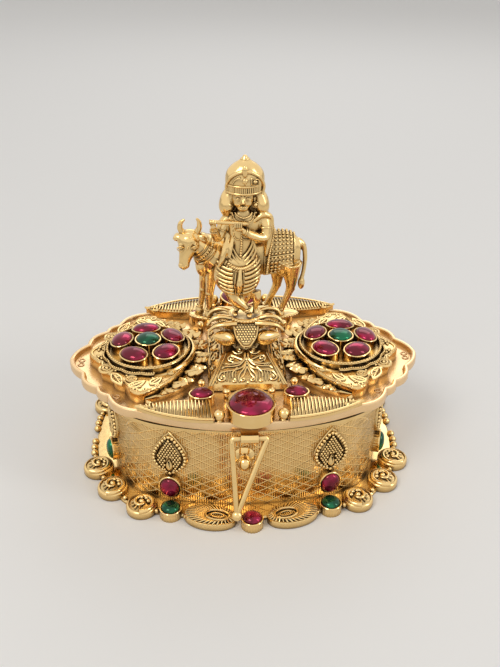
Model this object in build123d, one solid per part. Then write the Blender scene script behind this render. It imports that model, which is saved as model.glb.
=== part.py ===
"""Sindoor box: an oval gilt box with a hinged lid, set with red and green stones.

The lid carries two stone clusters, four ribbed feather wings and a lotus on which
a flute player stands in front of a cow. Millimetres, +Z up, X along the length.
The origin is the middle of the underside. The front, with the clasp, faces -Y.
"""
import os
from math import atan2, cos, degrees, pi, radians, sin, sqrt

from build123d import *

# How many straight sides stand in for rounds
round_sides = 8
bead_sides = 8
bar_sides = 6
fan_sides = 12
cup_sides = 24
arc_steps = 4
lobe_steps = 3

# Lid tray: pointed oval with scalloped ends and a raised edge
lid_half_length = 40.0
lid_half_depth = 27.0
lid_thickness = 2.1
lid_gap = 0.15
tray_depth = 1.3
tray_edge = 1.0
lip_depth = 1.8
lip_thickness = 0.8
lip_clearance = 0.4
rivet_hole_radius = 0.5
rivet_hole_share = (0.7075, 0.53)
tip_bulge = 0.1
scallop_bulge = 0.16
lobe_ends = ((0.9175, 0.2333), (0.8225, 0.4556), (0.755, 0.5741))
shoulder_share = (0.5925, 0.7926)

# Box: floor plate, wall and flared rim
wall_half_length = 0.775 * lid_half_length
wall_half_depth = 26.0
wall_thickness = 0.7
side_arc_radius = 70.0
end_arc_radius = 40.0
corner_arc_radius = 13.0
floor_thickness = 0.8
floor_flange = 4.4
wall_top = 17.2
rim_top = 20.6
rim_end_tuck = 4.8
rim_side_tuck = 0.4
rim_side_roundness = 1.288
rim_end_roundness = 1.393
rim_corner_radius = 24.0

# Stone clusters on the lid
cluster_x = 0.55 * lid_half_length
plateau_height = 2.9
plateau_inset = 4.5
plateau_inner_x = 0.5 * lid_half_length
cup_radius = 0.2375 * lid_half_length
cup_height = 4.4
cup_wall = 0.6
cup_floor = 3.2
cup_clearance = 0.1
cluster_stone_count = 5
cluster_stone_start = 97.0
cluster_ruby_length = 0.15 * lid_half_length
cluster_ruby_width = 0.1125 * lid_half_length
cluster_ruby_ring = 0.145 * lid_half_length
cluster_ruby_tilt = 8.0
cluster_emerald_width = 0.13 * lid_half_length
cluster_bezel_height = 2.2
cluster_emerald_rise = 0.7
bezel_wall = 0.4
bezel_recess = 0.7
stone_crown = 0.9
stone_proud = 0.2
lower_slope = 35.0
upper_slope = 60.0

# Crescents and feather wings
crescent_inner_x = 0.305 * lid_half_length
crescent_outer_x = 0.225 * lid_half_length
crescent_horn_x = 0.565 * lid_half_length
crescent_horn_y = 17.4
crescent_height = 2.3
crescent_steps = 10
wing_rise = 1.5
wing_tip = (0.59 * lid_half_length, 21.2)
wing_heel = (0.215 * lid_half_length, 19.6)
wing_toe = (0.195 * lid_half_length, 26.6)
wing_inner_bow = (0.4125 * lid_half_length, 19.7)
wing_outer_bow = (0.405 * lid_half_length, 25.0)
wing_rib_count = 10
wing_rib_pitch = 0.03 * lid_half_length
wing_groove_y = 24.1
wing_groove_length = 4.4
wing_groove_drift = 0.18
wing_groove_fall = 0.3
wing_groove_width = 0.42
wing_groove_depth = 0.5
wing_groove_slant = 12.0
wing_stone_place = (0.2525 * lid_half_length, 17.5)
wing_stone_length = 4.7
wing_stone_width = 3.3
wing_bezel_height = 2.7

# Front and back drop stones
drop_width = 10.2
drop_front_y = 28.8
drop_point_y = 17.9
drop_bezel_height = 3.1
drop_wall = 0.5
drop_side_bow = 0.16
bead_radius = 1.2
small_bead_radius = 0.85
bead_places = ((6.6, 25.4, bead_radius), (4.8, 16.6, small_bead_radius), (10.1, 12.9, small_bead_radius))

# Saddle under the lotus
saddle_half_width = 0.215 * lid_half_length
saddle_half_depth = 13.2
saddle_step = 1.5
saddle_wall = 0.8
saddle_top_half_width = 5.2
saddle_top_half_depth = 5.6
saddle_top = 26.6
strap_width = 0.9
strap_height = 0.5

# Lotus
stem_foot_radius = 4.2
stem_waist_radius = 2.1
stem_head_radius = 3.2
disc_radius = 3.9
disc_thickness = 1.0
disc_top = 34.0
plinth_half_length = 12.6
plinth_half_depth = 3.2
plinth_y = 4.4
plinth_top = 31.6
plinth_thickness = 0.9

shield_half_width = 2.9
shield_length = 5.6
shield_top_bow = 0.6
shield_thickness = 0.9
shield_lean = 32.0
shield_root_z = 32.6
bud_low_z = 28.2
bud_high_z = 31.6
bud_reach = 7.2
bud_half_width = 1.7
bud_end_radius = 0.5

# Flute figure and cow
figure_height = 36.2
cow_height = 24.1
cow_y = 4.4

# Foot ornaments and wall leaves
rosette_places = ((0.585 * lid_half_length, 25.9), (0.7525 * lid_half_length, 19.7), (0.8475 * lid_half_length, 12.4))
rosette_radius = 3.4
rosette_height = 2.7
foot_stone_size = 4.0
foot_bezel_height = 2.3
foot_ruby_y = 32.0
foot_emerald_place = (0.43 * lid_half_length, 28.0)
foot_flat_height = 1.0
fan_centre = (0.22 * lid_half_length, 30.0)
fan_length = 0.285 * lid_half_length
fan_depth = 6.6
fan_height = 2.3
fan_turn = 14.0
fan_rim = 0.7
leaf_height = 11.2
leaf_width = 7.8
leaf_thickness = 1.2
leaf_rim = 0.9
leaf_steps = 5
leaf_skew = 0.75
leaf_point_share = 1.6
leaf_bottom_z = 8.25
leaf_front_x = 17.0
leaf_side_y = 10.6
wall_stone_size = 4.2
wall_stone_z = 5.3
wall_bezel_reach = 1.4

# Hinge and clasp
hinge_y = 28.7
hinge_z = 21.1
hinge_pin_radius = 0.6
hinge_knuckle_radius = 1.3
hinge_clearance = 0.06
hinge_knuckle_length = 6.0
hinge_side_gap = 0.3
hinge_tab_bite = 0.3
hasp_y = -28.5
hasp_z = 20.3
hasp_wire_radius = 0.5
hasp_lug_radius = 1.1
hasp_lug_length = 3.6
hasp_clearance = 0.06
hasp_left_x = -4.2
hasp_right_x = 3.1
hasp_tip_x = -3.3
hasp_drop = 16.2
hasp_lean = 4.7
hasp_tip_radius = 1.2
clasp_ball_radius = 1.6
clasp_ball_x = -1.5
clasp_ball_z = 14.0
clasp_ball_reach = 2.5
clasp_post_radius = 0.8

# Places that follow from the sizes above
rim_half_length = lid_half_length - rim_end_tuck
rim_half_depth = lid_half_depth - rim_side_tuck
rim_side_radius = rim_side_roundness * rim_half_length ** 2 / rim_half_depth
rim_end_radius = rim_end_roundness * rim_half_depth ** 2 / rim_half_length
lid_bottom = rim_top + lid_gap
lid_top = lid_bottom + lid_thickness
tray_floor = lid_top - tray_depth
cup_seat = tray_floor + cup_floor
wall_foot = floor_thickness
far = 200.0

node = {}


def front_and_back(shapes):
    return shapes + [shape.mirror(Plane.XZ) for shape in shapes]


def left_and_right(shapes):
    return shapes + [shape.mirror(Plane.YZ) for shape in shapes]


def four_ways(shapes):
    return front_and_back(left_and_right(shapes))


def on_arc(x, y, radius, angle):
    return (x + radius * cos(angle), y + radius * sin(angle))


def oval_quarter(inset, half_length, half_depth, side_radius, end_radius, corner_radius):
    """A quarter of an oval: wide front and end arcs joined by a tangent corner arc, inset all round."""
    half_length -= inset
    half_depth -= inset
    side_radius -= inset
    end_radius -= inset
    corner_radius -= inset
    side_y = half_depth - side_radius
    end_x = half_length - end_radius
    # The corner centre is where the circles of possible corner centres cross
    gap = sqrt(side_y ** 2 + end_x ** 2)
    reach_side = side_radius - corner_radius
    reach_end = end_radius - corner_radius
    along = (reach_end ** 2 - reach_side ** 2 + gap ** 2) / (2 * gap)
    across = sqrt(reach_end ** 2 - along ** 2)
    ux, uy = -end_x / gap, side_y / gap
    corner_x = end_x + ux * along - uy * across
    corner_y = uy * along + ux * across
    if corner_x < 0 or corner_y < 0:
        corner_x = end_x + ux * along + uy * across
        corner_y = uy * along - ux * across
    to_side = atan2(corner_y - side_y, corner_x)
    to_end = atan2(corner_y, corner_x - end_x)
    side_join = on_arc(0, side_y, side_radius, to_side)
    end_join = on_arc(end_x, 0, end_radius, to_end)
    corner_mid = on_arc(corner_x, corner_y, corner_radius, (to_side + to_end) / 2)
    return [
        ThreePointArc((half_length, 0), on_arc(end_x, 0, end_radius, to_end / 2), end_join),
        ThreePointArc(end_join, corner_mid, side_join),
        ThreePointArc(side_join, on_arc(0, side_y, side_radius, (to_side + pi / 2) / 2), (0, half_depth)),
    ]


def all_round(quarter, steps):
    """Corners along the arcs of a quarter outline, from +X round to +Y, mirrored to all four quarters."""
    first = [(point.X, point.Y) for point in (arc @ (k / steps) for arc in quarter for k in range(steps))]
    end = quarter[-1] @ 1
    half = first + [(end.X, end.Y)] + [(-x, y) for x, y in first[::-1]]
    return half + [(x, -y) for x, y in half[-2:0:-1]]


def wall_corners(inset):
    return all_round(wall_quarter(inset), arc_steps)


def rim_corners(inset):
    return all_round(rim_quarter(inset), arc_steps)


def outlined(corners):
    return Face(Wire.make_polygon(corners))


def wall_quarter(inset):
    """The outline of the wall, inset all round."""
    return oval_quarter(inset, wall_half_length, wall_half_depth, side_arc_radius, end_arc_radius,
                        corner_arc_radius)


def rim_quarter(inset):
    """The outline of the flared rim, which stays inside the lid's outline."""
    return oval_quarter(inset, rim_half_length, rim_half_depth, rim_side_radius, rim_end_radius,
                        rim_corner_radius)


def lobe(start, end, bulge=scallop_bulge):
    """An outline arc that bows outward by a share of its chord."""
    mid_x = (start[0] + end[0]) / 2 + (end[1] - start[1]) * bulge
    mid_y = (start[1] + end[1]) / 2 - (end[0] - start[0]) * bulge
    return ThreePointArc(start, (mid_x, mid_y), end)


def lid_face():
    """The pointed oval of the lid, with three lobes between each tip and the long side."""
    tip = (lid_half_length, 0)
    first, second, third = [(lid_half_length * x, lid_half_depth * y) for x, y in lobe_ends]
    shoulder = (lid_half_length * shoulder_share[0], lid_half_depth * shoulder_share[1])
    drop = lid_half_depth - shoulder[1]
    side_radius = (shoulder[0] ** 2 + drop ** 2) / (2 * drop)
    side_angle = pi / 2 - shoulder[0] / side_radius / 2
    quarter = [
        lobe(tip, first, tip_bulge),
        lobe(first, second),
        lobe(second, third),
        lobe(third, shoulder),
        ThreePointArc(shoulder, on_arc(0, lid_half_depth - side_radius, side_radius, side_angle),
                      (0, lid_half_depth)),
    ]
    return outlined(all_round(quarter, lobe_steps))


def raised(face, bottom, top):
    return extrude(Pos(0, 0, bottom) * face, top - bottom, dir=(0, 0, 1))


def oval_points(length, width, sides, x=0.0, y=0.0, z=0.0):
    """Corners of a small oval, with one flat side to the front."""
    turns = [2 * pi * (k + 0.5) / sides for k in range(sides)]
    return [(x + length / 2 * cos(turn), y + width / 2 * sin(turn), z) for turn in turns]


def oval(length, width, sides=round_sides):
    """A small oval drawn with short straight sides, which keeps the many stones light."""
    return Face(Wire.make_polygon(oval_points(length, width, sides)))


def faceted(rings):
    """A closed body with flat faces between rings of as many points."""
    faces = [Face(Wire.make_polygon(rings[0])), Face(Wire.make_polygon(rings[-1]))]
    for low, high in zip(rings, rings[1:]):
        for here, after in zip(range(len(low)), [*range(1, len(low)), 0]):
            faces.append(Face(Wire.make_polygon([low[here], low[after], high[after]])))
            faces.append(Face(Wire.make_polygon([low[here], high[after], high[here]])))
    return Solid(Shell(faces))


def ball(x, y, z, radius, sides=round_sides):
    """A small faceted ball."""
    rings = []
    for angle in (-66, -22, 22, 66):
        width = 2 * radius * cos(radians(angle)) / cos(radians(22))
        rings.append(oval_points(width, width, sides, x, y, z + radius * sin(radians(angle))))
    return faceted(rings)


def domed(outline, bottom, girdle, crown):
    """A cabochon: straight sides up to the girdle, then two slopes to a small flat top."""
    band = crown / 2
    lower = extrude(Pos(0, 0, girdle) * outline, band, dir=(0, 0, 1), taper=lower_slope)
    upper = extrude(lower.faces().sort_by(Axis.Z)[-1], band, dir=(0, 0, 1), taper=upper_slope)
    return raised(outline, bottom, girdle) + lower + upper


def set_stone(outline, wide_outline, bottom, height):
    """A cabochon and the bezel cup that grips it, both standing on the given level."""
    girdle = bottom + height
    stone = domed(outline, girdle - bezel_recess, girdle + stone_proud, stone_crown)
    cup = raised(wide_outline, bottom, girdle) - raised(outline, girdle - bezel_recess, girdle + 1)
    return stone, cup


def shaped(*arcs, steps=arc_steps):
    """A flat face round arcs that follow one another, each drawn with short straight sides."""
    return Face(Wire.make_polygon([arc @ (k / steps) for arc in arcs for k in range(steps)]))


def solids(name, shapes):
    """Store separate solids under one node name."""
    parts = []
    for shape in shapes:
        parts += shape.solids()
    node[name] = Compound(children=parts) if len(parts) > 1 else parts[0]


def bead(x, y, radius):
    """A round bead on a short stalk that reaches the tray."""
    centre = lid_top + radius
    stalk = raised(Pos(x, y) * oval(radius, radius, bead_sides), tray_floor, centre)
    return (ball(x, y, centre, radius, bead_sides) + stalk - tray).solid()


def rod(start, end, radius, end_radius=None, sides=bar_sides):
    """A straight or tapered bar between two points."""
    axis = Vector(*end) - Vector(*start)
    slope = 0.0 if end_radius is None else degrees(atan2(radius - end_radius, axis.length))
    return extrude(Plane(origin=start, z_dir=axis) * oval(2 * radius, 2 * radius, sides), axis.length, taper=slope)


def stacked(rings):
    """A body through level ovals, each given as x, y, z, half length and half depth."""
    return faceted([oval_points(2 * a, 2 * b, round_sides, x, y, z) for x, y, z, a, b in rings])


def raised_to(corners, height):
    return [(x, y, height) for x, y in corners]


# Box body
outer_face = outlined(wall_corners(0))
inner_face = outlined(wall_corners(wall_thickness))
plate = raised(outlined(wall_corners(-floor_flange)), 0, floor_thickness)
node["base_plate"] = chamfer(plate.edges().group_by(Axis.Z)[-1], floor_thickness * 0.4)
node["body_wall"] = raised(outer_face, wall_foot, wall_top) - raised(inner_face, wall_foot, wall_top)
flare_outer = faceted([raised_to(wall_corners(0), wall_top), raised_to(rim_corners(0), rim_top)])
flare_inner = faceted([raised_to(wall_corners(wall_thickness), wall_top),
                       raised_to(rim_corners(wall_thickness), rim_top)])
node["rim_collar"] = flare_outer - flare_inner

# Lid tray and its locating lip
tray_outline = lid_face()
pocket_outline = offset(tray_outline, -tray_edge, kind=Kind.INTERSECTION).face()
tray = raised(tray_outline, lid_bottom, lid_top) - raised(pocket_outline, tray_floor, lid_top)
rivet_hole = oval(2 * rivet_hole_radius, 2 * rivet_hole_radius, bead_sides)
rivet_spot = Pos(lid_half_length * rivet_hole_share[0], lid_half_depth * rivet_hole_share[1])
for hole in four_ways([raised(rivet_spot * rivet_hole, lid_bottom, lid_top)]):
    tray -= hole
node["lid_tray"] = tray
lip_inset = wall_thickness + lip_clearance
lip = raised(outlined(wall_corners(lip_inset)), lid_bottom - lip_depth, lid_bottom)
lip_room = outlined(wall_corners(lip_inset + lip_thickness))
node["lid_lip"] = lip - raised(lip_room, lid_bottom - lip_depth, lid_bottom)

# Stone clusters: scalloped plateau, round cup, five red stones round a green one
def cup_face(radius):
    return Pos(cluster_x, 0) * oval(2 * radius, 2 * radius, cup_sides)


cup_room = cup_face(cup_radius + cup_clearance)
plateau_top = tray_floor + plateau_height
plateau_outline = offset(tray_outline, -plateau_inset, kind=Kind.INTERSECTION).face()
plateau = raised(plateau_outline, tray_floor, plateau_top)
plateau &= Pos(plateau_inner_x + far / 2, 0, 0) * Box(far, far, far)
plateau -= raised(cup_room, tray_floor, plateau_top)
solids("side_plateaus", left_and_right(plateau.solids()))
cup_inner = cup_face(cup_radius - cup_wall)
cup = raised(cup_face(cup_radius), tray_floor, tray_floor + cup_height)
cup -= raised(cup_inner, cup_seat, tray_floor + cup_height)
cup -= raised(cup_inner, tray_floor, cup_seat - cup_wall)
solids("cluster_cups", left_and_right([cup]))

ruby_face = oval(cluster_ruby_width, cluster_ruby_length)
ruby_rim = oval(cluster_ruby_width + 2 * bezel_wall, cluster_ruby_length + 2 * bezel_wall)
ruby, ruby_cup = set_stone(ruby_face, ruby_rim, -cluster_bezel_height, 2 * cluster_bezel_height)
below_seat = Pos(cluster_x, 0, cup_seat - far / 2) * Box(far, far, far)
rubies, ruby_cups = [], []
for index in range(cluster_stone_count):
    turn = 180 - cluster_stone_start + index * 360 / cluster_stone_count
    place = Pos(cluster_x, 0, cup_seat) * Rot(0, 0, turn)
    place *= Pos(cluster_ruby_ring, 0, 0) * Rot(0, cluster_ruby_tilt, 0)
    rubies.append(place * ruby)
    ruby_cups.append(place * ruby_cup - below_seat)
emerald_face = oval(cluster_emerald_width, cluster_emerald_width)
emerald_rim = oval(cluster_emerald_width + 2 * bezel_wall, cluster_emerald_width + 2 * bezel_wall)
emerald, emerald_cup = set_stone(emerald_face, emerald_rim, 0, cluster_bezel_height + cluster_emerald_rise)
middle = Pos(cluster_x, 0, cup_seat)
solids("cluster_rubies", left_and_right(rubies))
solids("cluster_ruby_bezels", left_and_right(ruby_cups))
solids("cluster_emeralds", left_and_right([middle * emerald]))
solids("cluster_emerald_bezels", left_and_right([middle * emerald_cup]))

# Scaled crescents on the inner side of each cluster
horn = (crescent_horn_x, crescent_horn_y)
low_horn = (crescent_horn_x, -crescent_horn_y)
crescent_face = shaped(ThreePointArc(low_horn, (crescent_outer_x, 0), horn),
                       ThreePointArc(horn, (crescent_inner_x, 0), low_horn), steps=crescent_steps)
crescent = raised(crescent_face, tray_floor, tray_floor + crescent_height)

# Feather wings with a comb of ribs, resting on the tray edge
wing_face = shaped(ThreePointArc(wing_tip, wing_outer_bow, wing_toe),
                   ThreePointArc(wing_heel, wing_inner_bow, wing_tip))
wing_top = lid_top + wing_rise
wing = raised(wing_face, tray_floor, wing_top) - tray
for index in range(wing_rib_count):
    groove_x = wing_heel[0] + wing_rib_pitch * (index + 1)
    comb = Pos(groove_x, wing_groove_y - index * wing_groove_drift, wing_top) * Rot(0, 0, wing_groove_slant)
    wing -= comb * Box(wing_groove_width, wing_groove_length - index * wing_groove_fall, 2 * wing_groove_depth)
wing_stone_face = oval(wing_stone_length, wing_stone_width)
wing_stone_rim = oval(wing_stone_length + 2 * bezel_wall, wing_stone_width + 2 * bezel_wall)
wing_ruby, wing_cup = set_stone(wing_stone_face, wing_stone_rim, 0, wing_bezel_height)
wing_seat = Pos(*wing_stone_place, tray_floor)
wing -= wing_seat * raised(wing_stone_rim, 0, far)
solids("feather_wings", four_ways(wing.solids()))
solids("wing_bezels", four_ways([wing_seat * wing_cup]))
solids("wing_rubies", four_ways([wing_seat * wing_ruby]))
for clear in front_and_back([wing_seat * raised(wing_stone_rim, 0, far), raised(wing_face, 0, far), plateau]):
    crescent -= clear
solids("scale_crescents", left_and_right(crescent.solids()))

# Drop stones at the front and back, overhanging the tray edge
half_drop = drop_width / 2
drop_round_y = half_drop - drop_front_y


def drop_face(inset):
    """A drop with a rounded front and a point toward the middle of the lid."""
    radius = half_drop - inset
    point = (0, -drop_point_y - inset * 1.4)
    left = (-radius, drop_round_y)
    right = (radius, drop_round_y)
    low_right = ThreePointArc((0, drop_round_y - radius), on_arc(0, drop_round_y, radius, -pi / 4), right)
    low_left = ThreePointArc(left, on_arc(0, drop_round_y, radius, -3 * pi / 4), (0, drop_round_y - radius))
    return shaped(low_left, low_right, lobe(right, point, drop_side_bow), lobe(point, left, drop_side_bow))


drop_girdle = lid_top + drop_bezel_height
drop_outer = raised(drop_face(0), lid_top, drop_girdle) + (
    raised(drop_face(0), tray_floor, lid_top) & raised(pocket_outline, tray_floor, lid_top))
drop_cup = drop_outer - raised(drop_face(drop_wall), drop_girdle - bezel_recess, drop_girdle)
drop_stone = raised(drop_face(drop_wall), drop_girdle - bezel_recess, drop_girdle + stone_proud)
drop_table = Pos(0, 0, drop_girdle + stone_proud) * drop_face(drop_wall)
drop_stone += extrude(drop_table, stone_crown, dir=(0, 0, 1), taper=upper_slope)
solids("drop_bezels", front_and_back([drop_cup]))
solids("drop_rubies", front_and_back([drop_stone]))
solids("lid_beads", four_ways([bead(*place) for place in bead_places]))

# Saddle with a raised strap down each side of its sunk front and back panels
saddle_foot = tray_floor + saddle_step


def wedge(half_width, half_depth, top_half_width, top_half_depth):
    """A block that narrows from the saddle's foot to its top."""
    corners = ((1, 1), (-1, 1), (-1, -1), (1, -1))
    return faceted([[(half_width * sx, half_depth * sy, saddle_foot) for sx, sy in corners],
                    [(top_half_width * sx, top_half_depth * sy, saddle_top) for sx, sy in corners]])


saddle = raised(Rectangle(2 * saddle_half_width, 2 * saddle_half_depth).face(), tray_floor, saddle_foot)
slope = wedge(saddle_half_width, saddle_half_depth, saddle_top_half_width, saddle_top_half_depth)
panel_room = wedge(saddle_half_width - strap_width, far, saddle_top_half_width - strap_width, far)
panel = wedge(saddle_half_width, saddle_half_depth - strap_height, saddle_top_half_width,
              saddle_top_half_depth - strap_height) & panel_room
saddle_hollow = wedge(saddle_half_width - saddle_wall, saddle_half_depth - saddle_wall - strap_height,
                      saddle_top_half_width - saddle_wall, saddle_top_half_depth - saddle_wall - strap_height)
foot_room = Rectangle(2 * (saddle_half_width - saddle_wall),
                      2 * (saddle_half_depth - saddle_wall - strap_height)).face()
saddle_hollow = Pos(0, 0, -saddle_wall) * saddle_hollow
saddle_hollow += raised(foot_room, tray_floor, saddle_foot - saddle_wall)
node["saddle"] = saddle + (slope - panel_room) + panel - saddle_hollow


# Lotus: stem, hanging shields, bud petals, curled petals and the disc under the feet
stem_top = disc_top - disc_thickness
stem = stacked([(0, 0, saddle_top + share * (stem_top - saddle_top), radius, radius) for share, radius in (
    (0, stem_foot_radius), (0.18, stem_waist_radius * 1.3), (0.5, stem_waist_radius), (1, stem_head_radius))])
node["lotus_stem"] = stem
disc = raised(oval(2 * disc_radius, 2 * disc_radius, cup_sides), stem_top, disc_top)
node["lotus_disc"] = disc
ledge_face = Pos(0, plinth_y) * oval(2 * plinth_half_length, 2 * plinth_half_depth)
ledge = raised(ledge_face, plinth_top - plinth_thickness, plinth_top) - stem
shield_face = shaped(ThreePointArc((-shield_half_width, 0), (0, shield_top_bow), (shield_half_width, 0)),
                     ThreePointArc((shield_half_width, 0), (shield_half_width * 0.86, -shield_length * 0.6),
                                   (0, -shield_length)),
                     ThreePointArc((0, -shield_length), (-shield_half_width * 0.86, -shield_length * 0.6),
                                   (-shield_half_width, 0)))
shield_place = Plane(origin=(0, -stem_head_radius + shield_thickness, shield_root_z), x_dir=(1, 0, 0),
                     z_dir=(0, -cos(radians(shield_lean)), sin(radians(shield_lean))))
shield = extrude(shield_place * shield_face, shield_thickness) - stem - disc - node["saddle"]
shield = shield.solids().sort_by(SortBy.VOLUME)[-1]
solids("lotus_shields", front_and_back([shield]))
ledge -= shield.mirror(Plane.XZ)


def bud(start, end, half_width):
    """An almond bud: full in the middle and drawn in to a small round at each end."""
    middle = (Vector(*start) + Vector(*end)) / 2
    return rod(start, middle, bud_end_radius, half_width) + rod(middle, end, half_width, bud_end_radius)


buds = bud((2.0, -2.6, bud_low_z), (bud_reach, -bud_reach * 0.84, bud_high_z), bud_half_width)
buds = buds - stem - shield - shield.mirror(Plane.XZ) - node["saddle"] - disc
lotus_buds = four_ways([buds.solids().sort_by(SortBy.VOLUME)[-1]])
solids("lotus_buds", lotus_buds)
for petal in lotus_buds:
    ledge -= petal
node["lotus_ledge"] = ledge.solids().sort_by(SortBy.VOLUME)[-1]

# Flute figure and cow, drawn in hundredths of their own heights
def at(place, point):
    """A point of a figure taken from its own hundredths to the box's millimetres."""
    unit, origin = place
    return tuple(start + unit * step for start, step in zip(origin, point))


def limb(place, start, end, radius, end_radius=None):
    tip = None if end_radius is None else end_radius * place[0]
    return rod(at(place, start), at(place, end), radius * place[0], tip)


def body_part(place, rings):
    """A part through level ovals, each given as x, y, z, half length and half depth."""
    return stacked([(*at(place, ring[:3]), ring[3] * place[0], ring[4] * place[0]) for ring in rings])


# The flute player stands with crossed legs on the disc
standing = (figure_height / 100, (0, 0, disc_top))
skirt = body_part(standing, ((-4.7, 0, 16.6, 13.8, 8.0), (-5.0, 0, 32.0, 13.5, 7.7), (-2.8, 0, 43.1, 7.5, 5.2)))
chest = body_part(standing, ((-2.8, 0, 43.1, 7.5, 5.2), (-1.7, 0, 55.2, 9.9, 5.8), (-0.6, 0, 64.6, 11.0, 5.0),
                             (-1.7, 0, 70.2, 4.1, 3.6)))
turban = body_part(standing, ((-2.2, -1.1, 79.6, 7.5, 6.9), (-1.1, -0.6, 86.7, 11.0, 8.3),
                              (-0.8, 0, 95.0, 6.6, 5.8), (-0.8, 0, 100, 1.9, 1.9)))
head = ball(*at(standing, (-2.2, -1.4, 76.2)), 6.9 * standing[0])
legs = [limb(standing, (-0.6, -2.2, 0), (-7.7, 0, 20.7), 2.5, 4.1),
        limb(standing, (-6.6, 1.1, 0), (0.6, 0, 20.7), 2.5, 4.1)]
feet = [body_part(standing, ((x, -2.8, 0, 2.8, 4.7), (x, -2.8, 3.0, 2.8, 4.7))) for x in (-3.3, 2.5)]
arms = [limb(standing, (9.9, 0, 62.4), (10.8, -3.9, 54.1), 3.3, 2.8),
        limb(standing, (10.8, -3.9, 54.1), (-2.2, -8.8, 58.6), 2.8, 1.9),
        limb(standing, (-11.0, 0, 61.9), (-14.9, -3.3, 53.6), 3.3, 2.8),
        limb(standing, (-14.9, -3.3, 53.6), (-16.6, -8.8, 60.2), 2.8, 1.9)]
scarf = [limb(standing, (x, 1.7, 61.9), (x * 1.1, 2.2, 77.3), 4.1, 2.5) for x in (-11.0, 9.9)]
flute = limb(standing, (-21.5, -9.7, 64.1), (0.6, -9.7, 62.4), 1.24)
figure = skirt + chest + turban + head + legs + feet + arms + scarf - flute - disc
node["flute_figure"] = figure
node["flute"] = flute

# The cow stands on the ledge behind the figure with its head turned to the front
grazing = (cow_height / 100, (0, cow_y, plinth_top))
trunk = faceted([[at(grazing, (x, across, z + up)) for up, across, _ in oval_points(2 * h, 2 * d, round_sides)]
                 for x, z, h, d in ((-39.8, 58.1, 10.8, 7.9), (-30.7, 57.3, 19.9, 12.0), (-4.1, 58.1, 19.9, 14.1),
                                    (24.9, 61.4, 20.7, 13.7), (44.0, 62.2, 17.4, 11.2), (52.3, 61.4, 6.6, 5.8))])
neck = limb(grazing, (-31.5, 0, 62.2), (-48.1, -7.5, 78.8), 13.3, 8.3)
face = limb(grazing, (-48.5, -6.6, 81.3), (-55.2, -15.8, 58.1), 8.7, 5.0)
cow_legs = [limb(grazing, (x, y, 0), (top_x, y, 51.5), 3.1, 7.5) for x, y, top_x in (
    (-42.3, 4.1, -34.0), (-33.6, -4.1, -30.7), (21.6, 4.1, 33.2), (34.0, -4.1, 39.0))]
ears = [limb(grazing, (-49.0, -6.6, 80.5), (x, -6.6, z), 3.3, 1.7) for x, z in ((-63.9, 79.7), (-35.7, 78.8))]
horns = [limb(grazing, (x, -6.6, 85.5), (tip_x, -8.3, 100), 2.7, 1.2)
         for x, tip_x in ((-53.5, -55.2), (-44.4, -41.5))]
tail = limb(grazing, (50.6, 0, 69.7), (53.9, 0, 34.9), 2.5, 3.7)
cow = trunk + neck + face + cow_legs + ears + horns + tail - figure - disc - ledge - stem
for petal in lotus_buds:
    cow -= petal
node["cow"] = cow.solids().sort_by(SortBy.VOLUME)[-1]

# Ornaments round the foot, down to the ground and fitted over the flange
core = raised(outer_face, 0, rim_top) + node["base_plate"]


def foot_piece(shape):
    return (shape - core).solids().sort_by(SortBy.VOLUME)[-1]


rosettes = []
for x, y in rosette_places:
    shell = [(0, rosette_radius), (foot_flat_height, rosette_radius),
             (foot_flat_height + (rosette_height - foot_flat_height) * 0.65, rosette_radius * 0.75),
             (rosette_height, rosette_radius * 0.35)]
    rosettes.append(foot_piece(faceted([oval_points(2 * r, 2 * r, round_sides, x, y, z) for z, r in shell])))
solids("foot_rosettes", four_ways(rosettes))
foot_face = oval(foot_stone_size, foot_stone_size)
foot_rim_face = oval(foot_stone_size + 2 * bezel_wall, foot_stone_size + 2 * bezel_wall)
foot_stone, foot_cup = set_stone(foot_face, foot_rim_face, 0, foot_bezel_height)
ruby_place = Pos(0, -foot_ruby_y)
emerald_place = Pos(*foot_emerald_place)
solids("foot_ruby_bezels", front_and_back([foot_piece(ruby_place * foot_cup)]))
solids("foot_rubies", front_and_back([ruby_place * foot_stone]))
solids("foot_emerald_bezels", four_ways([foot_piece(emerald_place * foot_cup)]))
solids("foot_emeralds", four_ways([emerald_place * foot_stone]))
fan_face = Rot(0, 0, -fan_turn) * oval(fan_length, fan_depth, fan_sides)
fan_inner = Rot(0, 0, -fan_turn) * oval(fan_length - 2 * fan_rim, fan_depth - 2 * fan_rim, fan_sides)
fan_eye = Rot(0, 0, -fan_turn) * oval(fan_length * 0.5, fan_depth * 0.42)
fan = raised(fan_face, 0, fan_height) - raised(fan_inner, foot_flat_height + fan_rim, fan_height)
fan += raised(fan_eye, foot_flat_height, fan_height)
solids("foot_fans", four_ways([foot_piece(Pos(*fan_centre) * fan)]))

# Pointed leaves on the wall, each with a stone set below it
def leaf_outline(inset):
    """A leaf with a round foot and a drawn-out point, its width following a skewed sine."""
    steps = [k / leaf_steps for k in range(leaf_steps + 1)]
    height = leaf_height - leaf_point_share * inset
    right = [((leaf_width / 2 - inset) * sin(pi * t ** leaf_skew), inset + t * (height - inset), 0) for t in steps]
    left = [(-x, y, z) for x, y, z in right[-2:0:-1]]
    return Face(Wire.make_polygon(right + left))


def on_wall(x, y, turn, height):
    """A plane standing on the wall: X along the wall, Y up, Z outward."""
    return Plane(origin=(x, y, height), x_dir=(cos(turn), sin(turn), 0), z_dir=(sin(turn), -cos(turn), 0))


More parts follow.
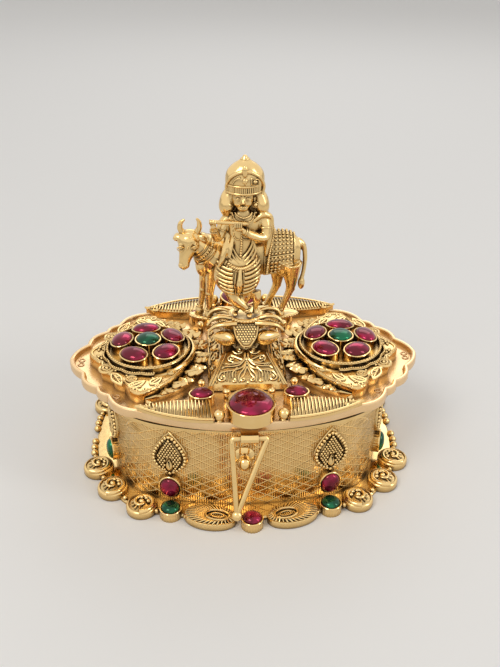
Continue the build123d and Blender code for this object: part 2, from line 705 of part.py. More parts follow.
front_turn = atan2(leaf_front_x, sqrt(side_arc_radius ** 2 - leaf_front_x ** 2))
front_y = side_arc_radius - wall_half_depth - side_arc_radius * cos(front_turn)
side_turn = pi / 2 - atan2(leaf_side_y, sqrt(end_arc_radius ** 2 - leaf_side_y ** 2))
side_x = wall_half_length - end_arc_radius + end_arc_radius * sin(side_turn)
wall_places = ((leaf_front_x, front_y, front_turn), (side_x, -leaf_side_y, side_turn))
leaf_sink = 0.3
leaves, leaf_cups, leaf_stones = [], [], []
wall_face = oval(wall_stone_size, wall_stone_size * 1.15)
wall_rim = oval(wall_stone_size + 2 * bezel_wall, wall_stone_size * 1.15 + 2 * bezel_wall)
for x, y, turn in wall_places:
    plane = on_wall(x, y, turn, leaf_bottom_z)
    leaf = extrude(plane.offset(-leaf_sink) * leaf_outline(0), leaf_thickness + leaf_sink)
    leaf -= extrude(plane.offset(leaf_thickness * 0.6) * leaf_outline(leaf_rim), leaf_thickness)
    leaf += extrude(plane.offset(leaf_thickness * 0.6) * leaf_outline(leaf_rim * 2), leaf_thickness * 0.6)
    leaves.append((leaf - core).solids().sort_by(SortBy.VOLUME)[-1])
    stone, stone_cup = set_stone(wall_face, wall_rim, -leaf_sink, wall_bezel_reach + leaf_sink)
    spot = on_wall(x, y, turn, wall_stone_z).location
    leaf_stones.append(spot * stone)
    leaf_cups.append((spot * stone_cup - core).solids().sort_by(SortBy.VOLUME)[-1])
solids("wall_leaves", [(leaf - flare_outer).solids().sort_by(SortBy.VOLUME)[-1] for leaf in four_ways(leaves)])
solids("wall_bezels", four_ways(leaf_cups))
solids("wall_rubies", four_ways(leaf_stones[:1]))
solids("wall_emeralds", four_ways(leaf_stones[1:]))

# Hinge: two knuckles on the box, one on the lid, and the pin through all three
def knuckle(centre_x, length, bore):
    """A hinge tube along X on the hinge line."""
    tube = Cylinder(hinge_knuckle_radius, length) - Cylinder(bore, length)
    return Pos(centre_x, hinge_y, hinge_z) * (Rot(0, 90, 0) * tube)


outer_x = hinge_knuckle_length + hinge_side_gap
bore_room = Pos(0, hinge_y, hinge_z) * (Rot(0, 90, 0) * Cylinder(hinge_knuckle_radius - hinge_tab_bite, far))
tab_top = lid_bottom - hinge_side_gap
tab_bottom = hinge_z - hinge_knuckle_radius
body_tab = Pos(outer_x, (wall_half_depth + hinge_y) / 2, (tab_bottom + tab_top) / 2) * Box(
    hinge_knuckle_length, hinge_y - wall_half_depth, tab_top - tab_bottom)
body_knuckle = knuckle(outer_x, hinge_knuckle_length, hinge_pin_radius) + (body_tab - flare_outer - bore_room)
solids("hinge_knuckles", left_and_right([body_knuckle.solids().sort_by(SortBy.VOLUME)[-1]]))
lid_tab_top = lid_top - hinge_side_gap
lid_tab = Pos(0, (lid_half_depth - tray_edge + hinge_y) / 2, (hinge_z + lid_tab_top) / 2) * Box(
    hinge_knuckle_length, hinge_y - lid_half_depth + tray_edge, lid_tab_top - hinge_z)
lid_knuckle = knuckle(0, hinge_knuckle_length, hinge_pin_radius + hinge_clearance) + (
    lid_tab - tray - bore_room)
node["lid_knuckle"] = lid_knuckle.solids().sort_by(SortBy.VOLUME)[-1]
pin_length = 3 * hinge_knuckle_length + 2 * hinge_side_gap
node["hinge_pin"] = Pos(0, hinge_y, hinge_z) * (Rot(0, 90, 0) * Cylinder(hinge_pin_radius, pin_length))

# Hasp: a leaning wire loop in a tube under the lid, and the ball stud it drops over
hasp_bore = hasp_wire_radius + hasp_clearance
lug_x = (hasp_left_x + hasp_right_x) / 2
lug_room = Pos(lug_x, hasp_y, hasp_z) * (Rot(0, 90, 0) * Cylinder(hasp_bore, far))
lug_tube = Pos(lug_x, hasp_y, hasp_z) * (Rot(0, 90, 0) * Cylinder(hasp_lug_radius, hasp_lug_length))
lug_tab_top = hasp_z + hasp_lug_radius
lug_reach = -hasp_y - lid_half_depth + tray_edge
lug_tab = Pos(lug_x, hasp_y + lug_reach / 2, (lid_bottom + lug_tab_top) / 2) * Box(
    hasp_lug_length, lug_reach, lug_tab_top - lid_bottom)
node["hasp_lug"] = (lug_tube + lug_tab - tray - lug_room).solids().sort_by(SortBy.VOLUME)[-1]
hasp_left = (hasp_left_x, hasp_y, hasp_z)
hasp_right = (hasp_right_x, hasp_y, hasp_z)
hasp_tip = (hasp_tip_x, hasp_y - hasp_lean, hasp_z - hasp_drop)
hasp_ball = ball(*hasp_tip, hasp_tip_radius)
loop = Pos(lug_x, hasp_y, hasp_z) * (Rot(0, 90, 0) * Cylinder(hasp_wire_radius, hasp_right_x - hasp_left_x))
loop += rod(hasp_left, hasp_tip, hasp_wire_radius)
loop += rod(hasp_right, hasp_tip, hasp_wire_radius)
for corner in (hasp_left, hasp_right):
    loop += ball(*corner, hasp_wire_radius, bead_sides)
node["hasp_loop"] = loop - hasp_ball
node["hasp_ball"] = hasp_ball
stud_y = -wall_half_depth - clasp_ball_reach
post_root = (clasp_ball_x, wall_thickness - wall_half_depth, clasp_ball_z)
post = rod(post_root, (clasp_ball_x, stud_y, clasp_ball_z), clasp_post_radius)
node["clasp_ball"] = ball(clasp_ball_x, stud_y, clasp_ball_z, clasp_ball_radius) + post - core

os.makedirs("parts", exist_ok=True)
for name, shape in node.items():
    shape.label = name
    export_step(shape, f"parts/{name}.step")
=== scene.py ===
# Sindoor box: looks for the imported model. Shapes are worked out in millimetres and scaled to metres.
import math

import bmesh
import bpy
import numpy as np
from mathutils import Matrix, Vector


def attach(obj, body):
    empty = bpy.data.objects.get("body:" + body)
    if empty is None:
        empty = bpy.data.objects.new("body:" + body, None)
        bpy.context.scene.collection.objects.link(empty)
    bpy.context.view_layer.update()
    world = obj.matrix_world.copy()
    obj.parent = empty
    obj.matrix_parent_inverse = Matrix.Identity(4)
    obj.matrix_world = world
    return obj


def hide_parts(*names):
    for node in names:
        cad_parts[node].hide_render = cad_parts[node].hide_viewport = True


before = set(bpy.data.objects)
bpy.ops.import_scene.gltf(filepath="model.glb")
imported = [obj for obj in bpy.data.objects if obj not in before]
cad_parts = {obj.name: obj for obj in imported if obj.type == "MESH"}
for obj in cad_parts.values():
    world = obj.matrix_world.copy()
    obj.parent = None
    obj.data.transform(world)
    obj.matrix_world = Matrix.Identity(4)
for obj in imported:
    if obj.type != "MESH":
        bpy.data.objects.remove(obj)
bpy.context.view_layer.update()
mm = 0.001


# small shape helpers: a shape is a pair of points and faces

def fullTurn(count):
    return np.linspace(0, 2 * math.pi, count, endpoint=False)


def skin(rows, closed=False):
    # joins equal rings of points into a surface, with a cap at each end unless it is closed
    count = len(rows[0])
    points = np.concatenate([np.asarray(row, float) for row in rows])
    faces = []
    steps = len(rows) if closed else len(rows) - 1
    for r in range(steps):
        a, b = r * count, ((r + 1) % len(rows)) * count
        for k in range(count):
            n = (k + 1) % count
            faces.append((a + k, a + n, b + n, b + k))
    if not closed:
        last = (len(rows) - 1) * count
        faces += [tuple(range(count - 1, -1, -1)), tuple(range(last, last + count))]
    return points, faces


def frames(path, closed):
    # tangents and steady side vectors along a path
    path = np.asarray(path, float)
    if closed:
        tangents = np.roll(path, -1, 0) - np.roll(path, 1, 0)
    else:
        tangents = np.gradient(path, axis=0)
    tangents /= np.linalg.norm(tangents, axis=1)[:, None] + 1e-12
    side = np.cross(tangents[0], (0, 0, 1))
    if np.linalg.norm(side) < 1e-3:
        side = np.cross(tangents[0], (0, 1, 0))
    sides = []
    for t in tangents:
        side = side - t * side.dot(t)
        side /= np.linalg.norm(side) + 1e-12
        sides.append(side)
    sides = np.array(sides)
    return path, tangents, sides, np.cross(tangents, sides)


def tube(path, radius, around=10, closed=False, flat=1.0):
    path, _, sides, ups = frames(path, closed)
    radii = np.broadcast_to(radius, len(path))
    angles = fullTurn(around)
    rows = [p + r * (np.outer(np.cos(angles), s) + flat * np.outer(np.sin(angles), u))
            for p, r, s, u in zip(path, radii, sides, ups)]
    return skin(rows, closed=closed)


def curve(points, count=16, closed=False):
    # a smooth path through the given points
    points = np.asarray(points, float)
    n = len(points)
    if closed:
        points = np.concatenate([points[-1:], points, points[:2]])
    else:
        points = np.concatenate([2 * points[:1] - points[1:2], points, 2 * points[-1:] - points[-2:-1]])
    segments = n if closed else n - 1
    path = []
    for k in range(segments):
        a, b, c, d = points[k:k + 4]
        for t in np.linspace(0, 1, count, endpoint=False):
            path.append(0.5 * (2 * b + (c - a) * t + (2 * a - 5 * b + 4 * c - d) * t ** 2
                               + (3 * b - a - 3 * c + d) * t ** 3))
    if not closed:
        path.append(points[-2])
    return np.array(path)


def ball(centre, radii, rings=8, around=14, spin=None):
    radii = np.broadcast_to(radii, 3)
    angles = fullTurn(around)
    rows = []
    for a in np.linspace(-math.pi / 2, math.pi / 2, rings + 1):
        c = max(math.cos(a), 0.02)
        rows.append(np.stack([np.cos(angles) * c, np.sin(angles) * c, np.full(around, math.sin(a))], 1))
    points, faces = skin(rows)
    points = points * radii
    if spin is not None:
        points = points @ np.array(spin.to_3x3()).T
    return points + np.asarray(centre, float), faces


def inset(outline, amount):
    # moves a closed outline inwards along its own normals
    outline = np.asarray(outline, float)[:, :2]
    ahead = np.roll(outline, -1, 0) - np.roll(outline, 1, 0)
    ahead /= np.linalg.norm(ahead, axis=1)[:, None] + 1e-12
    normals = np.stack([-ahead[:, 1], ahead[:, 0]], 1)
    area = np.sum(outline[:, 0] * np.roll(outline[:, 1], -1) - outline[:, 1] * np.roll(outline[:, 0], -1))
    return outline + normals * amount * (1 if area > 0 else -1)


def level(outline, z):
    return np.column_stack([np.asarray(outline, float)[:, :2], np.full(len(outline), z)])


def turnedSolid(outline, steps):
    # an outline taken through (inset, height) steps
    return skin([level(inset(outline, amount), z) for amount, z in steps])


def shrunkSolid(outline, steps):
    # the same with the outline scaled about the origin, which suits domes
    return skin([level(outline * share, z) for share, z in steps])


def placed(part, location=(0, 0, 0), spin=None):
    points, faces = part
    if spin is not None:
        points = points @ np.array(spin.to_3x3()).T
    return points + np.asarray(location, float), faces


def moved(parts, location, spin=None):
    return [placed(part, location, spin) for part in parts]


def mirrored(parts, axis):
    flip = np.ones(3)
    flip[axis] = -1
    return parts + [(points * flip, [tuple(reversed(f)) for f in faces]) for points, faces in parts]


def fourWays(parts):
    return mirrored(mirrored(parts, 0), 1)


def leftRight(parts):
    return mirrored(parts, 0)


def frontBack(parts):
    return mirrored(parts, 1)


def circle(radius, count=32, centre=(0, 0), depth=None):
    angles = fullTurn(count)
    return np.stack([centre[0] + radius * np.cos(angles), centre[1] + (depth or radius) * np.sin(angles)], 1)


def joinedMesh(name, parts, scale=1.0):
    # one mesh out of many shapes, with every face turned outwards
    points, faces, start = [], [], 0
    for p, f in parts:
        points.append(p)
        faces += [tuple(i + start for i in face) for face in f]
        start += len(p)
    mesh = bpy.data.meshes.new(name)
    mesh.from_pydata((np.concatenate(points) * scale).tolist(), [], faces)
    work = bmesh.new()
    work.from_mesh(mesh)
    bmesh.ops.recalc_face_normals(work, faces=work.faces)
    work.to_mesh(mesh)
    work.free()
    return mesh


def newObject(name, data):
    thing = bpy.data.objects.new(name, data)
    bpy.context.scene.collection.objects.link(thing)
    return thing


def piece(name, parts, look, body, standsFor=(), sharp=38):
    # one named object of the box, in millimetres until here
    mesh = joinedMesh(name, parts, mm)
    mesh.shade_smooth()
    mesh.set_sharp_from_angle(angle=math.radians(sharp))
    mesh.materials.append(look)
    thing = newObject(name, mesh)
    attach(thing, body)
    if standsFor:
        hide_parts(*standsFor)
    return thing


# finishes

def newLook(name):
    look = bpy.data.materials.new(name)
    look.use_nodes = True
    return look, look.node_tree, look.node_tree.nodes["Principled BSDF"]


def newGroup(name, inputs, outputs):
    group = bpy.data.node_groups.new(name, "ShaderNodeTree")
    for label, value in inputs.items():
        socket = group.interface.new_socket(label, in_out="INPUT", socket_type="NodeSocketFloat")
        socket.default_value = value
    for label, kind in outputs.items():
        group.interface.new_socket(label, in_out="OUTPUT", socket_type=kind)
    return group, group.nodes.new("NodeGroupInput"), group.nodes.new("NodeGroupOutput")


def placeGroup(tree, group, values):
    node = tree.nodes.new("ShaderNodeGroup")
    node.node_tree = group
    for label, value in values.items():
        node.inputs[label].default_value = value
    return node.outputs


def feed(tree, value, socket):
    # numbers and colours are set on the socket itself, other outputs are wired to it
    if isinstance(value, (int, float)):
        socket.default_value = value
    elif isinstance(value, tuple):
        socket.default_value = (*value, 1)
    else:
        tree.links.new(value, socket)


def mathNode(tree, operation, first, second, clamp=False):
    node = tree.nodes.new("ShaderNodeMath")
    node.operation = operation
    node.use_clamp = clamp
    feed(tree, first, node.inputs[0])
    feed(tree, second, node.inputs[1])
    return node.outputs[0]


def mapRange(tree, value, fromMin, fromMax, toMin, toMax):
    node = tree.nodes.new("ShaderNodeMapRange")
    limits = {"Value": value, "From Min": fromMin, "From Max": fromMax, "To Min": toMin, "To Max": toMax}
    for label, limit in limits.items():
        feed(tree, limit, node.inputs[label])
    return node.outputs[0]


def mixColours(tree, share, first, second):
    node = tree.nodes.new("ShaderNodeMix")
    node.data_type = "RGBA"
    feed(tree, share, node.inputs["Factor"])
    feed(tree, first, node.inputs["A"])
    feed(tree, second, node.inputs["B"])
    return node.outputs["Result"]


def objectNoise(tree, scale, detail):
    place = tree.nodes.new("ShaderNodeTexCoord")
    noise = tree.nodes.new("ShaderNodeTexNoise")
    noise.inputs["Detail"].default_value = detail
    feed(tree, scale, noise.inputs["Scale"])
    feed(tree, place.outputs["Object"], noise.inputs["Vector"])
    return noise.outputs["Fac"]


def bumpNormal(tree, height, distance, strength):
    bump = tree.nodes.new("ShaderNodeBump")
    bump.inputs["Distance"].default_value = distance
    feed(tree, strength, bump.inputs["Strength"])
    feed(tree, height, bump.inputs["Height"])
    return bump.outputs["Normal"]


def makePaintedShadeGroup():
    # dark painted shade in the hollows, found by ambient occlusion, and slow changes of tone
    inputs = {"Reach": 0.0012, "Strength": 1.0, "Tone Scale": 300.0}
    outputs = {"Painted Shade": "NodeSocketFloat", "Tone": "NodeSocketFloat"}
    group, inside, outside = newGroup("recessPaintedShade", inputs, outputs)
    hollowShade = group.nodes.new("ShaderNodeAmbientOcclusion")
    hollowShade.samples = 6
    feed(group, inside.outputs["Reach"], hollowShade.inputs["Distance"])
    # ambient occlusion marks the hollows that get painted shade
    shade = mapRange(group, hollowShade.outputs["AO"], 0.2, 0.9, 1.0, 0.0)
    paintedShade = mathNode(group, "MULTIPLY", shade, inside.outputs["Strength"], True)
    feed(group, paintedShade, outside.inputs["Painted Shade"])
    feed(group, objectNoise(group, inside.outputs["Tone Scale"], 3), outside.inputs["Tone"])
    return group


def makeGrainGroup():
    # fine cast grain
    inputs = {"Scale": 1500.0, "Depth": 0.2}
    group, inside, outside = newGroup("castGrain", inputs, {"Normal": "NodeSocketVector"})
    noise = objectNoise(group, inside.outputs["Scale"], 2)
    feed(group, bumpNormal(group, noise, 0.0002, inside.outputs["Depth"]), outside.inputs["Normal"])
    return group


paintedShadeGroup = makePaintedShadeGroup()
grainGroup = makeGrainGroup()


def goldLook(name, values):
    look, tree, shader = newLook(name)
    shader.inputs["Metallic"].default_value = 1.0
    paintedShade = placeGroup(tree, paintedShadeGroup, {"Reach": values["reach"], "Strength": values["strength"]})
    plate = mixColours(tree, paintedShade["Tone"], values["bright"], values["deep"])
    # the hollows are mixed towards a near-black colour as painted shade
    feed(tree, mixColours(tree, paintedShade["Painted Shade"], plate, values["hollowShade"]), shader.inputs["Base Color"])
    polish = values["roughness"]
    dull = polish + 0.35  # in the hollows
    feed(tree, mapRange(tree, paintedShade["Painted Shade"], 0.0, 1.0, polish, dull), shader.inputs["Roughness"])
    grain = placeGroup(tree, grainGroup, {"Depth": values["grain"], "Scale": 900.0})
    feed(tree, grain["Normal"], shader.inputs["Normal"])
    return look


# the last colour of each set is the near-black painted shade for the hollows
brightTones = {"bright": (0.93, 0.68, 0.32), "deep": (0.80, 0.53, 0.20), "hollowShade": (0.055, 0.02, 0.004)}
paleTones = {"bright": (0.92, 0.66, 0.38), "deep": (0.84, 0.56, 0.28), "hollowShade": (0.2, 0.085, 0.025)}
polishedGold = goldLook("polishedGold", {
    **brightTones, "roughness": 0.1, "reach": 0.0012, "strength": 0.9, "grain": 0.05})
castGold = goldLook("castGold", {
    **brightTones, "roughness": 0.15, "reach": 0.0019, "strength": 1.0, "grain": 0.1})
trayGold = goldLook("trayGold", {
    **paleTones, "roughness": 0.24, "reach": 0.0025, "strength": 0.8, "grain": 0.12})


def wallLook(values):
    # engraved lozenges filled with upright hatching, laid out on the wall's own map
    look = goldLook("engravedGold", values)
    tree = look.node_tree
    shader = tree.nodes["Principled BSDF"]
    place = tree.nodes.new("ShaderNodeUVMap")
    place.uv_map = "wallMap"
    split = tree.nodes.new("ShaderNodeSeparateXYZ")
    feed(tree, place.outputs[0], split.inputs[0])
    across = mathNode(tree, "DIVIDE", split.outputs[0], values["lozengeWidth"])
    upward = mathNode(tree, "DIVIDE", split.outputs[1], values["lozengeHeight"])
    lines = []
    for operation in ("ADD", "SUBTRACT"):
        saw = mathNode(tree, "PINGPONG", mathNode(tree, operation, across, upward), 0.5)
        lines.append(mathNode(tree, "MULTIPLY", saw, 2.0))
    edge = mathNode(tree, "MINIMUM", lines[0], lines[1])
    border = mathNode(tree, "SUBTRACT", 1.0, mathNode(tree, "MULTIPLY", edge, values["borderSlope"], True))
    saw = mathNode(tree, "PINGPONG", mathNode(tree, "DIVIDE", split.outputs[0], values["hatchPitch"]), 0.5)
    hatch = mathNode(tree, "ADD", mathNode(tree, "MULTIPLY", saw, values["hatchSlope"]), values["hatchBase"])
    drawn = mathNode(tree, "MAXIMUM", border, hatch)
    upTo = mathNode(tree, "SUBTRACT", values["plainFrom"], split.outputs[1], True)
    cut = mathNode(tree, "MULTIPLY", upTo, mathNode(tree, "SUBTRACT", 1.0, drawn))
    height = mathNode(tree, "SUBTRACT", 1.0, cut)
    normal = bumpNormal(tree, height, values["depth"], values["bump"])
    feed(tree, normal, shader.inputs["Normal"])
    # the cut lines are darkened towards brown: painted shade in the grooves
    grooveShadeMask = mapRange(tree, height, 0.1, 0.7, values["grooveShade"], 0.0)
    plate = shader.inputs["Base Color"].links[0].from_socket
    feed(tree, mixColours(tree, grooveShadeMask, plate, values["grooveShadeColour"]), shader.inputs["Base Color"])
    return look


def stoneLook(name, deep, paintedGlow):
    # clear cabochon glass over foil; lighter patches placed by noise are a painted glow standing in for the
    # foil's reflection inside
    look, tree, shader = newLook(name)
    settings = {"Roughness": 0.05, "IOR": 1.45, "Metallic": 0.6, "Coat Weight": 0.3, "Coat Roughness": 0.02}
    for label, value in settings.items():
        shader.inputs[label].default_value = value
    paintedGlowMask = mapRange(tree, objectNoise(tree, 330.0, 1.0), 0.45, 0.72, 0.0, 1.0)
    feed(tree, mixColours(tree, paintedGlowMask, deep, paintedGlow), shader.inputs["Base Color"])
    return look


# each stone: its own deep colour, then the lighter colour of its painted glow
rubyLook = stoneLook("rubyCabochon", (0.15, 0.001, 0.014), (0.46, 0.006, 0.07))
emeraldLook = stoneLook("emeraldCabochon", (0.0, 0.06, 0.022), (0.003, 0.24, 0.09))
print("finishes ready")


# outlines shared with the construction

def bow(start, end, bulge, count=10):
    start, end = np.asarray(start, float), np.asarray(end, float)
    chord = end - start
    out = np.array([chord[1], -chord[0]])
    t = np.linspace(0, 1, count, endpoint=False)[:, None]
    return start + chord * t + out * 4 * bulge * t * (1 - t)


def wholeOutline(quarter):
    # quarter runs from +X round to +Y; the last point lies on the Y axis and the first on the X axis
    quarter = np.asarray(quarter)
    flipX, flipY = np.array([-1, 1]), np.array([1, -1])
    second = (quarter[::-1] * flipX)[1:]
    half = np.concatenate([quarter, second])
    lower = (half[::-1] * flipY)[1:-1]
    return np.concatenate([half, lower])


def lidOutline():
    # four bows from the tip to the shoulder, then one wide arc over the front
    halfDepth = 27.0
    corners = ((40, 0), (36.7, 6.3), (32.9, 12.3), (30.2, 15.5), (23.7, 21.4))
    bows = ((0.1, 10), (0.16, 10), (0.16, 7), (0.16, 10))
    quarter = [bow(a, b, *shape) for a, b, shape in zip(corners, corners[1:], bows)]
    shoulderX, shoulderY = corners[-1]
    drop = halfDepth - shoulderY
    radius = (shoulderX ** 2 + drop ** 2) / (2 * drop)
    x = np.linspace(shoulderX, 0, 20)
    quarter.append(np.stack([x, halfDepth - radius + np.sqrt(radius ** 2 - x ** 2)], 1))
    return wholeOutline(np.concatenate(quarter))


def ovalOutline(halfLength, halfDepth, sideRadius, endRadius, cornerRadius, count=24):
    # wide front and end arcs joined by tangent corner arcs
    sideY, endX = halfDepth - sideRadius, halfLength - endRadius
    gap = math.hypot(sideY, endX)
    reachSide, reachEnd = sideRadius - cornerRadius, endRadius - cornerRadius
    onLine = (reachEnd ** 2 - reachSide ** 2 + gap ** 2) / (2 * gap)
    across = math.sqrt(reachEnd ** 2 - onLine ** 2)
    ux, uy = -endX / gap, sideY / gap
    cornerX, cornerY = endX + ux * onLine - uy * across, uy * onLine + ux * across
    if cornerX < 0 or cornerY < 0:
        cornerX, cornerY = endX + ux * onLine + uy * across, uy * onLine - ux * across
    toSide = math.atan2(cornerY - sideY, cornerX)
    toEnd = math.atan2(cornerY, cornerX - endX)
    a = np.linspace(0, toEnd, count, endpoint=False)
    b = np.linspace(toEnd, toSide, count, endpoint=False)
    c = np.linspace(toSide, math.pi / 2, count)
    return wholeOutline(np.concatenate([
        np.stack([endX + endRadius * np.cos(a), endRadius * np.sin(a)], 1),
        np.stack([cornerX + cornerRadius * np.cos(b), cornerY + cornerRadius * np.sin(b)], 1),
        np.stack([sideRadius * np.cos(c), sideY + sideRadius * np.sin(c)], 1)]))


wallOutline = ovalOutline(31.0, 26.0, 70.0, 40.0, 13.0)
rimOutline = ovalOutline(35.2, 26.6, 60.0, 28.0, 24.0)
trayOutline = lidOutline()
heights = {"floorTop": 0.8, "wallTop": 17.2, "rimTop": 20.6, "lidBottom": 20.75, "trayFloor": 21.55,
           "seat": 21.56, "lidTop": 22.85}  # ornaments on the tray start at the seat
wallThick = 0.7
clusterX, cupFloor = 22.0, 24.75  # middle of a stone cluster and the height its settings stand on


# box body
engraving = {
    **brightTones, "roughness": 0.16, "reach": 0.0012, "strength": 0.9, "grain": 0.0,
    "lozengeWidth": 4.0, "lozengeHeight": 2.0, "borderSlope": 4.2,
    "hatchPitch": 0.5, "hatchSlope": 1.2, "hatchBase": 0.12,
    # the groove values darken the cut lines as painted shade
    "plainFrom": 20.3, "depth": 0.00016, "bump": 0.8, "grooveShade": 0.55, "grooveShadeColour": (0.42, 0.2, 0.05)}
engravedGold = wallLook(engraving)


def makeWall():
    inner = inset(wallOutline, wallThick)
    rows = [level(wallOutline, z) for z in np.linspace(heights["floorTop"], heights["wallTop"], 9)]
    rows += [level(inner, z) for z in (heights["wallTop"], heights["floorTop"])]
    return mapRound(piece("wall", [skin(rows, closed=True)], engravedGold, "box", ["body_wall"], 30))


def mapRound(ring):
    # the engraving runs by length round the wall and by height
    step = np.linalg.norm(np.roll(wallOutline, -1, 0) - wallOutline, axis=1)
    walked = np.concatenate([[0], np.cumsum(step)])
    roundMap = ring.data.uv_layers.new(name="wallMap")
    ring.data.materials.append(polishedGold)
    count = len(wallOutline)
    for polygon in ring.data.polygons:
        corners = [ring.data.loops[i].vertex_index for i in polygon.loop_indices]
        wraps = any(v % count == 0 for v in corners) and any(v % count == count - 1 for v in corners)
        for loopIndex, vertex in zip(polygon.loop_indices, corners):
            k = vertex % count
            u = walked[-1] if wraps and k == 0 else walked[k]
            roundMap.data[loopIndex].uv = (u, ring.data.vertices[vertex].co.z / mm)
        if polygon.normal.x * polygon.center.x + polygon.normal.y * polygon.center.y < 0:
            polygon.material_index = 1  # plain on the inside
    return ring


def makeCollar():
    # eases from the wall's outline to the rim's: share of the way and height
    profile = ((0, heights["wallTop"]), (0.04, 17.45), (0.12, 17.9), (0.3, 18.6), (0.6, 19.5), (0.9, 20.3),
               (1.0, heights["rimTop"]))
    rows = [level(wallOutline * (1 - t) + rimOutline * t, z) for t, z in profile]
    rows += [level(inset(row, wallThick), row[0, 2]) for row in rows[::-1]]
    return mapRound(piece("collar", [skin(rows, closed=True)], engravedGold, "box",
                          ["rim_collar"], 30))


def makeTray():
    lip = [(0.1, 20.9), (0.0, 21.2), (0.0, 22.4), (0.12, 22.7)]
    roll = [(0.9, 22.7), (1.02, 22.4), (1.06, 21.85), (1.2, 21.6)]
    top = [(0.35, heights["lidTop"]), (0.68, heights["lidTop"])]
    shape = turnedSolid(trayOutline, [
        (0.35, heights["lidBottom"]), *lip, *top, *roll, (1.5, heights["trayFloor"])])
    return piece("tray", [shape], trayGold, "lid", ["lid_tray"], 32)


def makeRivetRings():
    values = {"radius": 0.62, "wire": 0.16, "spots": ((28.3, 14.3, 21.6), (37.4, 0.9, 21.6))}
    ring = tube(level(circle(values["radius"], 20), 0), values["wire"], 8, True)
    parts = [placed(ring, spot) for spot in values["spots"]]
    return piece("rivetRings", fourWays(parts), trayGold, "lid")


makeWall()
makeCollar()
makeTray()
makeRivetRings()
print("box and tray ready")


# settings, granules and placing on slanted planes

def onPlane(parts, origin, across, upward, outward):
    # takes shapes drawn flat to a plane in space
    basis = np.array([across, upward, outward], float)
    return [(points @ basis + np.asarray(origin, float), faces) for points, faces in parts]


def fluted(outline, count, depth):
    centre = outline.mean(0)
    turn = fullTurn(len(outline))
    return centre + (outline - centre) * (1 - depth * (0.5 + 0.5 * np.cos(count * turn)))[:, None]


def granules(points, radius, rings=4, around=7):
    return [ball(point, radius, rings, around) for point in points]


def along(path, spacing, closed=True):
    # evenly spaced points on a path
    path = np.asarray(path, float)
    if closed:
        path = np.concatenate([path, path[:1]])
    walked = np.concatenate([[0], np.cumsum(np.linalg.norm(np.diff(path, axis=0), axis=1))])
    count = max(2, int(round(walked[-1] / spacing)))
    steps = np.linspace(0, walked[-1], count, endpoint=not closed)
    return np.stack([np.interp(steps, walked, path[:, k]) for k in range(path.shape[1])], 1)


def bezelRows(outer, inner, bottom, girdle, side=None):
    side = outer if side is None else side
    return [level(side, bottom), level(side, girdle - 0.5), level(outer, girdle - 0.38),
            level(outer, girdle - 0.1), level(outer * 0.75 + inner * 0.25, girdle),
            level(outer * 0.35 + inner * 0.65, girdle), level(inner, girdle - 0.12),
            level(inner, girdle - 0.6)]


def stoneRows(inner, girdle, crown=1.1):
    centre = inner.mean(0)
    inner = centre + (inner - centre) * 0.985
    rows = [level(inner, girdle - 0.5)]
    for a in np.linspace(0, 0.49 * math.pi, 8):
        rows.append(level(centre + (inner - centre) * math.cos(a) ** 0.9,
                          girdle - 0.06 + crown * math.sin(a)))
    return rows


def setting(length, width, bottom, girdle, flutes=0, wall=0.4):
    # an oval bezel and its cabochon about the origin
    count = 96 if flutes else 40
    outer = circle(length / 2 + wall, count, depth=width / 2 + wall)
    inner = circle(length / 2, count, depth=width / 2)
    side = fluted(outer, flutes, 0.05) if flutes else outer
    return [skin(bezelRows(outer, inner, bottom, girdle, side))], [skin(stoneRows(inner, girdle))]


def curl(centre, radius, start, turns, z, inner=0.25, rise=0.0, count=26):
    # a flat spiral path that winds inwards
    a = np.linspace(start, start + turns * 2 * math.pi, count)
    r = np.linspace(radius, radius * inner, count)
    return np.stack([centre[0] + r * np.cos(a), centre[1] + r * np.sin(a),
                     z + rise * np.linspace(0, 1, count)], 1)


def leafShape(length, width, count=9, point=0.8):
    # a pointed leaf along +Y from the origin
    t = np.linspace(0, 1, count)
    x = width / 2 * np.sin(math.pi * t ** point)
    right = np.stack([x, t * length], 1)
    return np.concatenate([right, (right * (-1, 1))[-2:0:-1]])


def roofLeaf(length, width, height, base=0.0):
    # a leaf with a sharp ridge down the middle
    outline = leafShape(length, width)
    ridge = np.stack([outline[:, 0] * 0.04, outline[:, 1] * 0.86 + length * 0.03], 1)
    return skin([level(outline, base), level(outline, base + height * 0.35), level(ridge, base + height)])


# ornaments round the foot
def makeRosettes():
    values = {"radius": 3.4, "turns": 1.2, "beads": 3, "spots": ((23.4, 25.9), (30.1, 19.7), (33.9, 12.4))}
    r = values["radius"]
    plain = circle(r, 40)
    shape = shrunkSolid(plain, [(0.97, 0), (1, 0.2), (1, 1.25), (0.98, 1.6), (0.92, 1.85), (0.86, 1.9),
                                (0.8, 1.6), (0.55, 1.75), (0.3, 2.05), (0.05, 2.15)])
    parts = []
    for x, y in values["spots"]:
        facing = math.atan2(y, x)
        swirl = curl((0, 0), r * 0.84, facing + 0.6, values["turns"], 1.95, 0.2, 0.35, 40)
        shell = [shape, tube(swirl, np.linspace(0.62, 0.3, 40), 10)]
        for k in range(values["beads"]):
            a = facing + 2.4 + k * 0.75
            shell.append(ball((r * 0.42 * math.cos(a), r * 0.42 * math.sin(a), 2.2), 0.5))
        shell.append(ball((0, 0, 2.3), 0.62, 10, 16))
        for k in range(4):
            a = facing - 1.0 + k * 0.5
            shell.append(tube(np.array([[math.cos(a) * r * s, math.sin(a) * r * s, h]
                                        for s, h in ((0.34, 2.1), (0.5, 2.15), (0.66, 2.0))]), 0.17, 6))
        parts += moved(shell, (x, y, 0))
    links = granules(level([(20.2, 27.6), (27.2, 23.1), (32.5, 16.1), (35.0, 8.6), (14.0, 29.6)],
                           1.0), 0.6, 6, 10)
    links += granules(level([(35.4, 6.9), (35.6, 4.8), (35.6, 2.6)], 0.9), 0.9, 6, 12)
    return piece("footRosettes", fourWays(parts + links), castGold, "box", ["foot_rosettes"])


